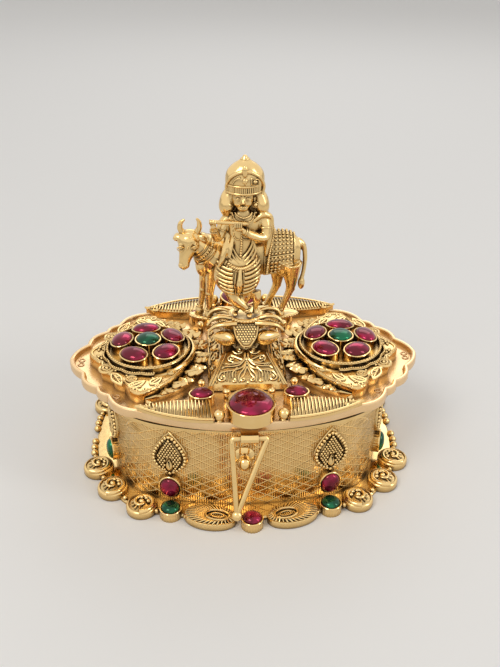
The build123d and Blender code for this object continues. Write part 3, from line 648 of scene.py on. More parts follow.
def makeFans():
    values = {"length": 11.4, "depth": 6.6, "ribs": 32}
    a, b = values["length"] / 2, values["depth"] / 2
    plain = circle(a, 56, depth=b)
    shape = turnedSolid(plain, [(0.12, 0), (0, 0.2), (0, 1.35), (0.1, 1.6), (0.3, 1.7), (0.55, 1.65),
                                (1.0, 1.75), (1.6, 1.72)])
    parts = [shape]
    centre = np.array([1.6, -0.2])  # the ring sits toward the middle stone
    for k in range(values["ribs"]):
        t = 2 * math.pi * k / values["ribs"]
        outer = np.array([a * 0.95 * math.cos(t), b * 0.93 * math.sin(t)])
        inner = centre * -1 + np.array([a * 0.42 * math.cos(t), b * 0.45 * math.sin(t)])
        middle = (outer + inner) / 2
        parts.append(tube(np.array([[*inner, 1.85], [*middle, 2.05], [*outer, 1.7]]), [0.16, 0.2, 0.15], 6))
    ring = circle(a * 0.45, 36, depth=b * 0.46) - centre
    parts.append(tube(level(ring, 2.0), 0.27, 8, True))
    parts.append(tube(level(circle(a * 0.24, 24, depth=b * 0.2) - centre, 1.95), 0.16, 6, True))
    for k in range(9):
        x = -a * 0.3 + k * a * 0.075 - centre[0]
        parts.append(tube(np.array([[x, -0.25 - centre[1], 1.85], [x + 0.2, 0.6 - centre[1], 1.85]]), 0.1, 5))
    turn = Matrix.Rotation(math.radians(-14), 4, "Z")
    return piece("footFans", fourWays(moved(parts, (8.8, 30.0, 0), turn)), castGold, "box",
                 ["foot_fans"])


def makeFootStones():
    values = {"across": 4.0, "girdle": 2.3, "flutes": 24, "rubyAt": (0, -32, 0), "emeraldAt": (17.2, 28.0, 0)}
    metal, stone = setting(values["across"], values["across"], 0, values["girdle"], values["flutes"])
    rubyAt, emeraldAt = values["rubyAt"], values["emeraldAt"]
    piece("footRubyBezels", frontBack(moved(metal, rubyAt)), polishedGold, "box",
          ["foot_ruby_bezels"])
    piece("footRubies", frontBack(moved(stone, rubyAt)), rubyLook, "box", ["foot_rubies"])
    piece("footEmeraldBezels", fourWays(moved(metal, emeraldAt)), polishedGold, "box",
          ["foot_emerald_bezels"])
    piece("footEmeralds", fourWays(moved(stone, emeraldAt)), emeraldLook, "box", ["foot_emeralds"])


# leaves and stones on the wall: x, y and the way that the wall faces there
wallSpots = {"front": (17.0, -23.905, math.radians(14.06)), "side": (29.57, -10.6, math.radians(74.63))}


def onWall(parts, spot, height):
    x, y, turn = wallSpots[spot]
    return onPlane(parts, (x, y, height), (math.cos(turn), math.sin(turn), 0), (0, 0, 1),
                   (math.sin(turn), -math.cos(turn), 0))


def makeWallLeaves():
    values = {"width": 7.8, "height": 11.2, "grain": 0.31, "foot": 8.25}
    outline = leafShape(values["height"], values["width"], 22, 0.75)
    leaf = [turnedSolid(outline, [(0, -0.3), (0, 0.25), (0.15, 0.42), (0.95, 0.42), (1.1, 0.2), (1.3, 0.5),
                                  (1.6, 0.72)])]
    ring = inset(outline, 0.5)
    ring = ring[(ring[:, 1] < values["height"] - 0.9) & (ring[:, 1] > 0.4)]
    leaf += granules(level(along(ring, 0.86), 0.6), 0.42, 6, 10)
    for row in range(15):
        y = 1.0 + row * 0.58
        wide = values["width"] / 2 * math.sin(math.pi * (y / values["height"]) ** 0.75) - 1.45
        for column in range(-5, 6):
            x = (column + 0.5 * (row % 2)) * 0.66
            if abs(x) < wide and not (abs(x) < 0.8 and y < 4.6):
                leaf.append(ball((x, y, 0.85 + 0.12 * max(0, 1 - abs(x) / 2)), values["grain"], 5, 8))
    drop = leafShape(3.0, 1.35, 12, 0.62) + (0, 1.5)
    leaf.append(turnedSolid(drop, [(-0.15, 0.4), (-0.15, 0.9), (0, 1.1), (0.2, 1.25), (0.4, 1.3)]))
    parts = onWall(leaf, "front", values["foot"]) + onWall(leaf, "side", values["foot"])
    return piece("wallLeaves", fourWays(parts), castGold, "box", ["wall_leaves"])


def makeWallStones():
    values = {"length": 4.2, "width": 4.83, "girdle": 1.4, "flutes": 26, "height": 5.3}
    metal, stone = setting(values["length"], values["width"], -0.3, values["girdle"], values["flutes"])
    bezels = onWall(metal, "front", values["height"]) + onWall(metal, "side", values["height"])
    rubies, emeralds = (onWall(stone, spot, values["height"]) for spot in ("front", "side"))
    piece("wallBezels", fourWays(bezels), polishedGold, "box", ["wall_bezels"])
    piece("wallRubies", fourWays(rubies), rubyLook, "box", ["wall_rubies"])
    piece("wallEmeralds", fourWays(emeralds), emeraldLook, "box", ["wall_emeralds"])


# clasp
def makeClasp():
    values = {"wire": 0.64, "tip": 1.2, "stud": 1.6, "bend": 0.9, "studX": -1.5, "studZ": 14}
    left, right, tip = np.array(((-4.2, -28.5, 20.3), (3.1, -28.5, 20.3), (-3.3, -33.2, 4.1)))
    bend, loop = values["bend"], []
    for corner, inward in ((left, 1), (right, -1)):
        toTip = (tip - corner) / np.linalg.norm(tip - corner)
        start = [(left + right) / 2, corner + (inward * bend * 1.4, 0, 0)]
        turn = [corner + (inward * bend, 0, 0), corner + (inward * 0.2, 0, -0.15), corner + toTip * bend]
        path = np.concatenate([start, curve(turn, 6), [corner + (tip - corner) * 0.5, tip]])
        loop.append(tube(path, values["wire"], 12))
    piece("claspLoop", loop, polishedGold, "hasp", ["hasp_loop"])
    piece("claspTip", [ball(tip, values["tip"], 14, 22)], polishedGold, "hasp", ["hasp_ball"])
    x, z = values["studX"], values["studZ"]
    rows = []
    for radius, y in ((2.3, -25.6), (2.3, -26.2), (1.9, -26.6), (1.1, -26.9), (0.9, -27.3)):
        ring = circle(radius, 24, (x, z))
        rows.append(np.column_stack([ring[:, 0], np.full(24, y), ring[:, 1]]))
    stud = [ball((x, -28.5, z), values["stud"], 16, 26), skin(rows)]
    piece("claspStud", stud, polishedGold, "box", ["clasp_ball"])


makeRosettes()
makeFans()
makeFootStones()
makeWallLeaves()
makeWallStones()
makeClasp()
print("foot, wall and clasp ready")


# stone clusters on the lid
def makeClusterCups():
    values = {"radius": 9.5, "flutes": 28, "milgrain": 78, "rope": 0.3}
    plain = circle(values["radius"], 168)
    rim = fluted(plain, values["flutes"], 0.018)
    lip = ((0.99, 25.2), (1, 25.45), (0.985, 25.75), (0.955, 25.8), (0.945, 25.3), (0.93, cupFloor))
    cup = [skin([level(rim, heights["seat"]), level(rim, 24.9)]
                + [level(plain * share, z) for share, z in lip])]
    cup += granules(level(circle(9.27, values["milgrain"]), 25.72), 0.26, 5, 8)
    band = np.radians(np.linspace(100, 262, 34))  # plain strap down the inner side
    strap = np.stack([10.25 * np.cos(band), 10.25 * np.sin(band), 24.6 - 1.3 * np.abs(np.sin(band)) ** 3], 1)
    cup.append(tube(strap, 0.5, 10, flat=1.5))
    wave = np.radians(np.linspace(-99, 99, 140))  # scalloped rope round the outer side
    reach = 9.75 + 0.45 * np.abs(np.sin(wave * 6.5))
    rope = np.stack([reach * np.cos(wave), reach * np.sin(wave), np.full(140, 24.45)], 1)
    cup.append(tube(rope, values["rope"], 8))
    cup += granules(along(rope + (0, 0, 0.28), 0.52, False), 0.25, 5, 8)
    cup = moved(cup, (clusterX, 0, 0))
    piece("clusterCups", leftRight(cup), castGold, "lid", ["cluster_cups"])


def makeClusterStones():
    values = {"ring": 5.8, "tilt": 8.0, "start": 83.0, "count": 5}
    middle = (clusterX, 0, cupFloor)
    metal, stone = setting(4.5, 6.0, -0.6, 2.2)
    metals, stones = [], []
    for k in range(values["count"]):
        turn = Matrix.Rotation(math.radians(values["start"] + 360 / values["count"] * k), 4, "Z")
        place = Matrix.Translation(middle) @ turn @ Matrix.Translation((values["ring"], 0, 0))
        place = place @ Matrix.Rotation(math.radians(values["tilt"]), 4, "Y")
        metals += moved(metal, place.translation, place)
        stones += moved(stone, place.translation, place)
    piece("clusterRubyBezels", leftRight(metals), polishedGold, "lid", ["cluster_ruby_bezels"])
    piece("clusterRubies", leftRight(stones), rubyLook, "lid", ["cluster_rubies"])
    metals, stones = (moved(parts, middle) for parts in setting(5.2, 5.2, 0, 2.9))
    piece("clusterEmeraldBezels", leftRight(metals), polishedGold, "lid", ["cluster_emerald_bezels"])
    piece("clusterEmeralds", leftRight(stones), emeraldLook, "lid", ["cluster_emeralds"])


def petalRosette(centre, radius, z, petals=6):
    parts = [ball((*centre, z + 0.15), radius * 0.28)]
    for k in range(petals):
        a = 2 * math.pi * k / petals
        spot = (centre[0] + radius * 0.62 * math.cos(a), centre[1] + radius * 0.62 * math.sin(a), z)
        parts.append(ball(spot, (radius * 0.36, radius * 0.27, 0.35), 6, 10, Matrix.Rotation(a, 3, "Z")))
    return parts


def eyeRosette(centre, radius, z):
    parts = [tube(level(circle(radius, 30, centre), z), 0.32, 8, True),
             tube(level(circle(radius * 0.55, 22, centre), z + 0.12), 0.25, 8, True),
             ball((*centre, z + 0.1), radius * 0.28)]
    for k in range(14):
        a = 2 * math.pi * k / 14
        step = np.array([math.cos(a), math.sin(a)]) * radius
        parts.append(tube(level([centre + step * 0.6, centre + step * 0.95], z + 0.1), 0.11, 5))
    return parts


def ribbedLeaf(start, end, width, z, veins=5):
    run = np.array(end, float) - np.array(start, float)
    length = np.linalg.norm(run)
    parts = [tube(level(leafShape(length, width, 12), 0), 0.27, 6, True),
             tube(level([(0, 0.1), (0, length * 0.95)], 0.1), 0.2, 6)]
    for k in range(veins):
        y = length * (0.15 + 0.7 * k / veins)
        reach = width * 0.42 * math.sin(math.pi * min(0.95, (y / length + 0.12)))
        for side in (-1, 1):
            parts.append(tube(level([(0, y), (side * reach, y + length * 0.12)], 0.05), 0.11, 5))
    return moved(parts, (*start, z), Matrix.Rotation(math.atan2(run[1], run[0]) - math.pi / 2, 4, "Z"))


def plateauField(values):
    # the border follows the tray's edge and the crescent, and is paired by angle with the cup's circle
    floor, count = heights["seat"], 190
    arcX, arcRadius = values["arcX"], values["arcRadius"]
    middle, cup = np.array([clusterX, 0.0]), values["cupRadius"]
    edge = inset(trayOutline, values["inset"])
    edge = edge[(edge[:, 0] > 12) & (np.hypot(edge[:, 0] - arcX, edge[:, 1]) < arcRadius)]
    edge = edge[np.argsort(np.arctan2(edge[:, 1], edge[:, 0] - 20))]
    bend = np.linspace(edge[-1, 1], values["cornerY"], 30)
    side = np.stack([arcX - np.sqrt(arcRadius ** 2 - bend ** 2), bend], 1)
    border = np.concatenate([(side * (1, -1))[::-1], edge, side])
    turns = np.arctan2(border[:, 1], border[:, 0] - clusterX)
    order = np.argsort(turns)
    a = np.linspace(turns.min(), turns.max(), count)
    rays = np.stack([np.cos(a), np.sin(a)], 1)
    reaches = np.interp(a, turns[order], np.linalg.norm(border - middle, axis=1)[order])
    outer = middle + rays * np.maximum(reaches, cup + 0.12)[:, None]
    inner = middle + rays * cup
    rows, beads = [], []
    for p, q in zip(outer, inner):
        wide = np.linalg.norm(q - p)
        inward = (q - p) / (wide + 1e-9)
        rail = [(*(p + inward * step * min(1.0, wide / 1.6)), z)
                for step, z in ((0.12, 24.1), (0.35, 24.35), (0.7, 24.3), (0.85, 24.05))]
        rows.append([(*p, floor), (*p, 23.6), *rail, (*(q - inward * 0.1), 24.05), (*q, 23.9), (*q, floor)])
        beads.append(p + inward * 0.36)
    return [skin(rows)] + granules(level(along(np.array(beads), 0.5, False), 24.3), 0.2, 4, 6)


def makePlateaus():
    values = {"inset": 4.5, "arcX": 31.96, "arcRadius": 19.4, "cornerY": 6.5, "cupRadius": 9.62,
              "field": 24.12}
    parts, z = plateauField(values), values["field"]
    eyes = ((30.9, 6.9, 1.6), (25.2, 11.3, 1.05), (16.6, 8.9, 0.85))
    leaves = (((29.4, 9.0), (27.2, 13.6), 2.0), ((25.6, 14.6), (22.2, 12.4), 1.9),
              ((21.0, 13.7), (18.7, 10.9), 1.8))
    curls = (((24.3, 15.4), 0.9, 0.4, 1.2, 0.2), ((28.3, 9.8), 0.7, 2.0, 1.3, 0.18),
             ((21.6, 15.6), 0.9, 1.0, 1.3, 0.2), ((19.4, 14.4), 0.75, 2.4, 1.2, 0.18))
    small = [(15.3, 7.4), (18.3, 12.6), (20.6, 11.2)]
    large = [(32.6, 4.2), (28.9, 7.9), (26.3, 10.0), (23.2, 14.4)]
    for side in (-1, 1):
        across = np.array([1, side])
        parts += petalRosette(np.array([33.1, 2.0]) * across, 1.35, z, 5)
        for x, y, radius in eyes:
            parts += eyeRosette(np.array([x, y]) * across, radius, z)
        for start, end, width in leaves:
            parts += ribbedLeaf(start * across, end * across, width, z)
        for centre, radius, start, turns, wire in curls:
            parts.append(tube(curl(centre * across, radius, start, turns * side, z), wire, 6))
        parts += granules(level(small * across, z), 0.32, 6, 10)
        parts += granules(level(large * across, z), 0.35, 6, 10)
    return piece("sidePlateaus", leftRight(parts), castGold, "lid", ["side_plateaus"])


def arcThrough(x, horn):
    # the arc from horn to horn through (x, 0): its centre, radius and half angle
    centre = (x ** 2 - horn[0] ** 2 - horn[1] ** 2) / (2 * (x - horn[0]))
    radius = abs(centre - x)
    return centre, radius, math.asin(horn[1] / radius)


def onArc(arc, share):
    centre, radius, half = arc
    return np.array([centre - radius * math.cos(half * share), radius * math.sin(half * share)])


def makeCrescents():
    values = {"horn": (22.6, 17.4), "nearX": 12.2, "farX": 9.0, "leafLength": 2.7, "leafWidth": 2.1}
    near, far = (arcThrough(values[side], values["horn"]) for side in ("nearX", "farX"))
    rows = []
    for t in np.linspace(-0.97, 0.97, 40):
        p, q = onArc(near, t), onArc(far, t)
        rows.append([(*q, heights["seat"]), (*q, 22.5), (*(q * 0.8 + p * 0.2), 22.8),
                     (*(q * 0.2 + p * 0.8), 22.9), (*p, 22.7), (*p, heights["seat"])])
    parts = [skin(rows)]
    for row, (share, count, tilt, off) in enumerate(((0.84, 15, 0.22, 0.0), (0.5, 14, 0.2, 0.5),
                                                     (0.16, 15, 0.2, 0.0))):
        for k in range(count):
            t = -0.84 + 1.68 * (k + off) / (count - 1)
            p, q = onArc(near, t), onArc(far, t)
            width = np.linalg.norm(q - p)
            if abs(t) > 0.86 or (width < 1.3 and row != 1):
                continue
            spot = q * (1 - share) + p * share
            outward = math.atan2(*(q - p)[::-1])
            size = 0.62 + 0.38 * min(1, width / 3.0)
            leaf = roofLeaf(values["leafLength"] * size, values["leafWidth"] * size, 0.62)
            lean = 0.35 * (1 if (k + row) % 2 else -1)
            spin = Matrix.Rotation(outward + lean - math.pi / 2, 4, "Z") @ Matrix.Rotation(tilt, 4, "X")
            parts.append(placed(leaf, (*(spot - (q - p) / width * 0.7 * size), 22.72 + 0.1 * row), spin))
    return piece("scaleCrescents", leftRight(parts), castGold, "lid", ["scale_crescents"], 25)


def arcBetween(start, middle, end, count):
    # the arc through three points
    (ax, ay), (bx, by), (cx, cy) = start, middle, end
    d = 2 * (ax * (by - cy) + bx * (cy - ay) + cx * (ay - by))
    aa, bb, cc = ax**2 + ay**2, bx**2 + by**2, cx**2 + cy**2
    ux = (aa * (by - cy) + bb * (cy - ay) + cc * (ay - by)) / d
    uy = (aa * (cx - bx) + bb * (ax - cx) + cc * (bx - ax)) / d
    r = math.hypot(ax - ux, ay - uy)
    a = np.linspace(math.atan2(ay - uy, ax - ux), math.atan2(cy - uy, cx - ux), count)
    return np.stack([ux + r * np.cos(a), uy + r * np.sin(a)], 1)


def between(points, place):
    # the point at a broken index on a path
    k = int(place)
    return points[k] + (points[min(len(points) - 1, k + 1)] - points[k]) * (place - k)


def makeWings():
    values = {"ribs": 19, "root": (7.8, 26.6), "innerRoot": (8.6, 19.6), "tip": (23.6, 21.2)}
    outer = arcBetween(values["root"], (16.2, 25.0), values["tip"], 40)
    inner = arcBetween(values["innerRoot"], (16.5, 19.7), values["tip"], 40)
    rows = []
    for p, q in zip(outer, inner):
        face = [(*(p * (1 - share) + q * share), z) for share, z in ((0.15, 23.7), (0.5, 23.8), (0.9, 23.8))]
        rows.append([(*q, 21.6), (*p, 22.9), (*p, 23.55), *face, (*q, 23.6)])
    parts = [skin(rows), tube(level(outer[:-1], 23.95), np.linspace(0.34, 0.3, 39), 8, flat=0.8)]
    for k in range(values["ribs"]):
        s = (k + 0.4) / values["ribs"] * 0.86
        low = between(outer, s * 39)
        high = between(inner, min(39.0, max(0.0, s * 39 + 2.0 - 3.0 * (1 - s))))
        mid = low * 0.5 + high * 0.5
        path = [(*(low * 0.97 + high * 0.03), 23.8), (*mid, 24.15), (*(high * 0.95 + low * 0.05), 23.95)]
        parts.append(tube(path, [0.17, 0.2, 0.17], 6, flat=1.4))
    for x, y, turn in ((20.6, 21.3, -1.1), (21.6, 21.9, -1.9), (22.4, 21.2, -1.3), (19.4, 22.0, -0.9),
                       (20.4, 20.6, -2.2)):
        parts.append(placed(roofLeaf(1.7, 1.0, 0.5), (x, y, 23.85), Matrix.Rotation(turn, 4, "Z")))
    piece("featherWings", fourWays(parts), polishedGold, "lid", ["feather_wings"])


def makeWingStones():
    values = {"length": 4.7, "width": 3.3, "girdle": 2.7, "place": (10.1, 17.5, heights["trayFloor"])}
    settings = setting(values["length"], values["width"], 0, values["girdle"])
    metal, stone = (moved(parts, values["place"]) for parts in settings)
    piece("wingBezels", fourWays(metal), polishedGold, "lid", ["wing_bezels"])
    piece("wingRubies", fourWays(stone), rubyLook, "lid", ["wing_rubies"])


def dropOutline(amount=0.0):
    radius = 5.1 - amount
    roundY = 5.1 - 28.8
    a = np.linspace(-math.pi, 0, 30)
    base = np.stack([radius * np.cos(a), roundY + radius * np.sin(a)], 1)
    point = np.array([0, -17.9 - amount * 1.4])
    right = bow((radius, roundY), point, 0.16, 14)
    left = (right * (-1, 1))[::-1]
    return np.concatenate([base[:-1], right, [point], left[:-1]])


def makeDrops():
    outer, inner = dropOutline(), dropOutline(0.5)
    under = (outer - (0, -22.6)) * 0.72 + (0, -22.2)
    metal = [skin([level(outer, 22.86), level(outer, 25.4)] + bezelRows(outer, inner, 24.9, 25.95)[2:]),
             skin([level(under, heights["seat"]), level(under, 22.95)])]
    stone = [skin(stoneRows(inner, 25.95))]
    piece("dropBezels", frontBack(metal), polishedGold, "lid", ["drop_bezels"])
    piece("dropRubies", frontBack(stone), rubyLook, "lid", ["drop_rubies"])


def makeLidBeads():
    values = {"beads": ((6.6, 25.4, 1.2), (4.8, 16.6, 0.85), (10.1, 12.9, 0.85))}  # x, y and radius
    parts = []
    for x, y, r in values["beads"]:
        post = shrunkSolid(circle(r * 0.8, 18), [(1, heights["seat"]), (1, 22.7), (0.7, 23.0), (0.5, 23.3)])
        parts += [ball((x, y, heights["lidTop"] + r), r, 14, 22), placed(post, (x, y, 0))]
    return piece("lidBeads", fourWays(parts), polishedGold, "lid", ["lid_beads"])


makeClusterCups()
makeClusterStones()
makePlateaus()
makeCrescents()
makeWings()
makeWingStones()
makeDrops()
makeLidBeads()
print("lid ornaments ready")


# saddle with scrolled panels
def rectangle(halfLength, halfDepth, z):
    return [(halfLength, halfDepth, z), (-halfLength, halfDepth, z), (-halfLength, -halfDepth, z),
            (halfLength, -halfDepth, z)]


saddle = {"halfWidth": 8.6, "halfDepth": 13.2, "topHalfWidth": 5.2, "topHalfDepth": 5.6, "strap": 0.9,
          "sunk": 0.5, "panelFoot": 23.0, "panelRise": 3.55, "wire": 0.12}


def saddleBody():
    w, d, tw, td = (saddle[key] for key in ("halfWidth", "halfDepth", "topHalfWidth", "topHalfDepth"))
    s, foot, deep = saddle["strap"], saddle["panelFoot"], saddle["sunk"]
    top = foot + saddle["panelRise"]
    parts = [skin([rectangle(w - 0.15, d - 0.15, heights["seat"]), rectangle(w, d, 21.8),
                   rectangle(w, d - deep, foot), rectangle(tw, td - deep, top)])]
    for side in (-1, 1):
        rows = []
        for y, z in ((-d, 21.7), (-d, 23.05), (-td, 26.6), (td, 26.6), (d, 23.05), (d, 21.7)):
            out = w if abs(y) > 10 else tw
            rows.append([(side * out, y, z), (side * (out - s), y, z), (side * (out - s), y * 0.97, z - 0.9),
                         (side * out, y * 0.97, z - 0.9)])
        parts.append(skin(rows))
        for share in (0.3, 0.72):
            low, high = side * (w - s * share), side * (tw - s * share)
            parts.append(tube([(low, -d - 0.02, 23.1), (high, -td, 26.66), (high, td, 26.66),
                               (low, d + 0.02, 23.1)], 0.13, 6))
    return parts


def frontScrolls():
    # drawn flat for one half, with the foot of the panel on the x axis
    scroll, z = [], saddle["wire"]
    for side in (-1, 1):
        lines = [[(0.35, 8.0), (0.5, 6.7), (1.3, 5.9), (2.6, 5.6), (3.6, 6.0)],
                 [(0.15, 5.9), (0.9, 4.5), (2.3, 3.8), (4.0, 3.5), (5.6, 3.1), (6.3, 2.2)],
                 [(0.15, 5.3), (0.8, 3.9), (1.6, 2.8), (1.95, 1.6), (1.8, 0.5)],
                 [(0.1, 4.4), (0.5, 3.3), (0.75, 2.6), (1.2, 1.9)],
                 [(0.5, 6.3), (1.6, 5.0), (3.2, 4.6), (4.9, 4.5), (5.6, 4.0)],
                 [(1.0, 6.3), (2.2, 6.9), (3.4, 7.6)], [(1.1, 5.6), (2.4, 5.3), (3.8, 5.2), (4.8, 5.4)],
                 [(0.6, 9.0), (1.2, 8.1), (2.2, 7.9), (3.0, 8.6)], [(2.2, 4.3), (3.2, 3.0), (3.3, 1.8)],
                 [(6.7, 0.5), (7.0, 1.5), (6.6, 2.6)]]
        curls = [((3.4, 6.75), 0.8, -1.2, 1.25), ((5.5, 1.7), 0.95, 0.5, -1.3),
                 ((1.0, 1.25), 0.62, 1.3, -1.2), ((1.6, 8.7), 0.5, 0.2, 1.2), ((3.0, 0.95), 0.45, 1.5, 1.1)]
        paths = [curve([(side * x, y, z) for x, y in line], 6) for line in lines]
        paths += [curl(*shape, z, 0.2) * (side, 1, 1) for shape in curls]
        scroll += [tube(path, np.linspace(0.27, 0.2, len(path)), 8) for path in paths]
        scroll += [ball((centre[0] * side, centre[1], z), 0.2, 5, 8) for centre, *_ in curls]
        for k in range(5):
            x = 2.5 + k * 0.62
            stem = [(side * x, 3.45 - k * 0.06, z), (side * (x + 0.12), 2.4, z),
                    (side * (x + 0.05 + k * 0.05), 0.5 + 0.12 * k, z)]
            scroll.append(tube(curve(stem, 5), 0.15, 6))
        for k in range(3):
            x = 4.6 + k * 0.5
            scroll.append(tube(np.array([(side * (x - 0.9), 4.6 + k * 0.1, z),
                                         (side * (x - 0.2), 5.4 + k * 0.1, z)]), 0.13, 6))
    scroll.append(ball((0, 6.6, z), (0.35, 0.6, 0.25), 6, 10))
    scroll.append(ball((0, 0.6, z), (0.35, 0.5, 0.25), 6, 10))
    return scroll


def sideScrolls():
    z = saddle["wire"]
    relief = [tube(np.array([(-10.6, 0.5, z), (10.6, 0.5, z)]), 0.2, 6),
              tube(np.array([(-5.4, 4.35, z), (5.4, 4.35, z)]), 0.2, 6),
              ball((0, 2.3, z), (0.9, 1.2, 0.35), 8, 14)]
    for sign in (-1, 1):
        relief.append(tube(curl((sign * 4.3, 2.2), 1.15, 2.4, 1.3 * sign, z), np.linspace(0.3, 0.2, 26), 8))
        relief.append(tube(curl((sign * 7.9, 1.5), 0.7, 2.0, 1.2 * sign, z), 0.2, 8))
        relief.append(tube(curve([(sign * 1.2, 2.2, z), (sign * 2.2, 3.6, z), (sign * 3.6, 3.5, z)],
                                 6), 0.24, 8))
        relief.append(tube(curve([(sign * 1.3, 1.8, z), (sign * 2.4, 1.0, z), (sign * 6.0, 0.9, z)],
                                 6), 0.2, 8))
    return relief


def makeSaddle():
    rise, foot = saddle["panelRise"], saddle["panelFoot"]
    runIn = saddle["halfDepth"] - saddle["topHalfDepth"]
    slant = math.hypot(runIn, rise)
    lean, lift = runIn / slant, rise / slant
    parts = saddleBody() + frontBack(onPlane(frontScrolls(), (0, saddle["sunk"] - saddle["halfDepth"], foot),
                                             (1, 0, 0), (0, lean, lift), (0, -lift, lean)))
    runIn = saddle["halfWidth"] - saddle["topHalfWidth"]
    slant = math.hypot(runIn, rise)
    lean, lift = runIn / slant, rise / slant
    parts += leftRight(onPlane(sideScrolls(), (saddle["halfWidth"], 0, foot + 0.05),
                               (0, 1, 0), (-lean, 0, lift), (lift, 0, lean)))
    return piece("saddle", parts, castGold, "lid", ["saddle"], 30)


def barrel(rings, around=28, steps=5):
    # level ovals (x, y, z, half length, half depth) eased into one another
    a = fullTurn(around)
    return skin([np.stack([x + p * np.cos(a), y + q * np.sin(a), np.full(around, z)], 1)
                 for x, y, z, p, q in curve(rings, steps)])


# lotus under the figure
def makeLotusStem():
    values = {"flutes": 10, "foot": 26.6, "height": 6.4}
    profile = ((0, 4.1), (0.06, 3.9), (0.18, 2.75), (0.35, 2.2), (0.5, 2.1), (0.7, 2.3),
               (0.88, 2.8), (1, 3.15))
    stem = [skin([level(fluted(circle(radius, 60), values["flutes"], 0.10),
                        values["foot"] + share * values["height"]) for share, radius in profile])]
    for k in range(values["flutes"]):
        a = 2 * math.pi * k / values["flutes"]
        spin = Matrix.Rotation(a - math.pi / 2, 4, "Z") @ Matrix.Rotation(0.25, 4, "X")
        stem.append(placed(roofLeaf(2.6, 1.9, 0.6), (2.0 * math.cos(a), 2.0 * math.sin(a), 26.95), spin))
    piece("lotusStem", stem, castGold, "lid", ["lotus_stem"])


def makeLotusDisc():
    values = {"radius": 3.9, "rimBeads": 34}
    disc = [turnedSolid(circle(values["radius"], 60), [
        (0.5, 33.0), (0.15, 33.1), (0.0, 33.35), (0.0, 33.65), (0.15, 33.9), (0.45, 33.98), (0.7, 33.85),
        (0.9, 33.8)])]
    disc += granules(level(circle(3.82, values["rimBeads"]), 33.5), 0.3, 5, 8)
    piece("lotusDisc", disc, castGold, "lid", ["lotus_disc"])


def makeLotusShields():
    # the hanging shield is drawn flat, its top at the origin
    values = {"grain": 0.27, "lean": 32}
    half = [(0, 0.55), (1.2, 0.45), (2.3, 0.15), (2.85, -0.3), (2.8, -1.8), (2.45, -3.3), (1.6, -4.7),
            (0.9, -5.45), (0, -5.6)]
    right = curve(half, 4)
    outline = np.concatenate([right, (right * (-1, 1))[::-1][1:-1]])
    shield = [turnedSolid(outline, [(0.1, 0), (0, 0.2), (0, 0.65), (0.12, 0.88), (0.3, 0.92), (0.5, 0.75),
                                    (0.62, 0.6)])]
    spots = []
    for row in range(10):
        for column in range(-4, 5):
            x, y = (column + 0.5 * (row % 2)) * 0.62, -row * 0.54
            if abs(x) < 2.35 * min(1, max(0, (y + 5.3) / 3.0)) ** 0.6 and y > -4.7:
                spots.append((x, y, 0.68))
    shield += granules(spots, values["grain"], 4, 7)
    lean = math.radians(values["lean"])
    upward, outward = (0, math.sin(lean), math.cos(lean)), (0, -math.cos(lean), math.sin(lean))
    front = onPlane(shield, (0, -2.3, 32.6), (1, 0, 0), upward, outward)
    piece("lotusShields", frontBack(front), castGold, "lid", ["lotus_shields"])


def makeLotusBuds():
    # almond buds with a rim
    start, end = np.array((1.9, -2.5, 28.3)), np.array((7.3, -6.1, 31.5))
    run = end - start
    axis = run / np.linalg.norm(run)
    side = np.cross(axis, (0, 0, 1))
    side /= np.linalg.norm(side)
    lift = np.cross(side, axis)
    t = np.linspace(0, 1, 16)
    bud = [tube(start + run * t[:, None], 0.1 + 1.85 * np.sin(math.pi * t ** 0.9) ** 0.8, 20, flat=0.95)]
    edge = []
    for reach, shares in ((1.92, np.linspace(0.02, 0.98, 16)), (-1.92, np.linspace(0.98, 0.02, 16))):
        for s in shares:
            out = side * reach * math.sin(math.pi * s ** 0.9) ** 0.8
            edge.append(start + run * s + out - lift * 0.25)
    bud.append(tube(edge, 0.2, 6, True))
    piece("lotusBuds", fourWays(bud), castGold, "lid", ["lotus_buds"])


def makeCurledPetals():
    # they hang over the buds, with beads held in the curl
    petals = []
    low = curve([(2.2, -3.0, 32.9), (4.6, -3.6, 33.0), (6.9, -3.5, 32.4), (8.3, -3.2, 31.0)], 6)
    petals.append(tube(low, np.linspace(0.85, 0.4, len(low)), 12, flat=0.75))
    high = curve([(3.0, -1.7, 33.4), (5.2, -1.9, 34.0), (7.2, -2.0, 33.5), (8.5, -2.1, 32.0)], 6)
    petals.append(tube(high, np.linspace(0.7, 0.38, len(high)), 12, flat=0.75))
    petals += granules(curve([(3.4, -2.5, 33.0), (5.2, -2.7, 33.3), (7.4, -2.6, 32.4)], 4), 0.3, 5, 8)
    inner = curve([(3.2, -0.6, 32.8), (5.4, -0.7, 33.0), (7.4, -0.8, 32.2)], 5)
    petals.append(tube(inner, 0.28, 8))
    piece("curledPetals", fourWays(petals), castGold, "lid")


def makeLotusLedge():
    values = {"halfLength": 12.5, "halfDepth": 3.1, "middleY": 4.4}
    ledge = circle(values["halfLength"], 70, (0, values["middleY"]), values["halfDepth"])
    plate = [turnedSolid(ledge, [(0.2, 30.75), (0, 30.9), (0, 31.3), (0.2, 31.5), (0.45, 31.55),
                                 (0.7, 31.45)])]
    plate += granules(level(along(inset(ledge, 0.12), 0.62), 31.15), 0.26, 5, 7)
    piece("lotusLedge", plate, castGold, "lid", ["lotus_ledge"])


makeSaddle()
makeLotusStem()
makeLotusDisc()
makeLotusShields()
makeLotusBuds()
makeCurledPetals()
makeLotusLedge()
print("saddle and lotus ready")


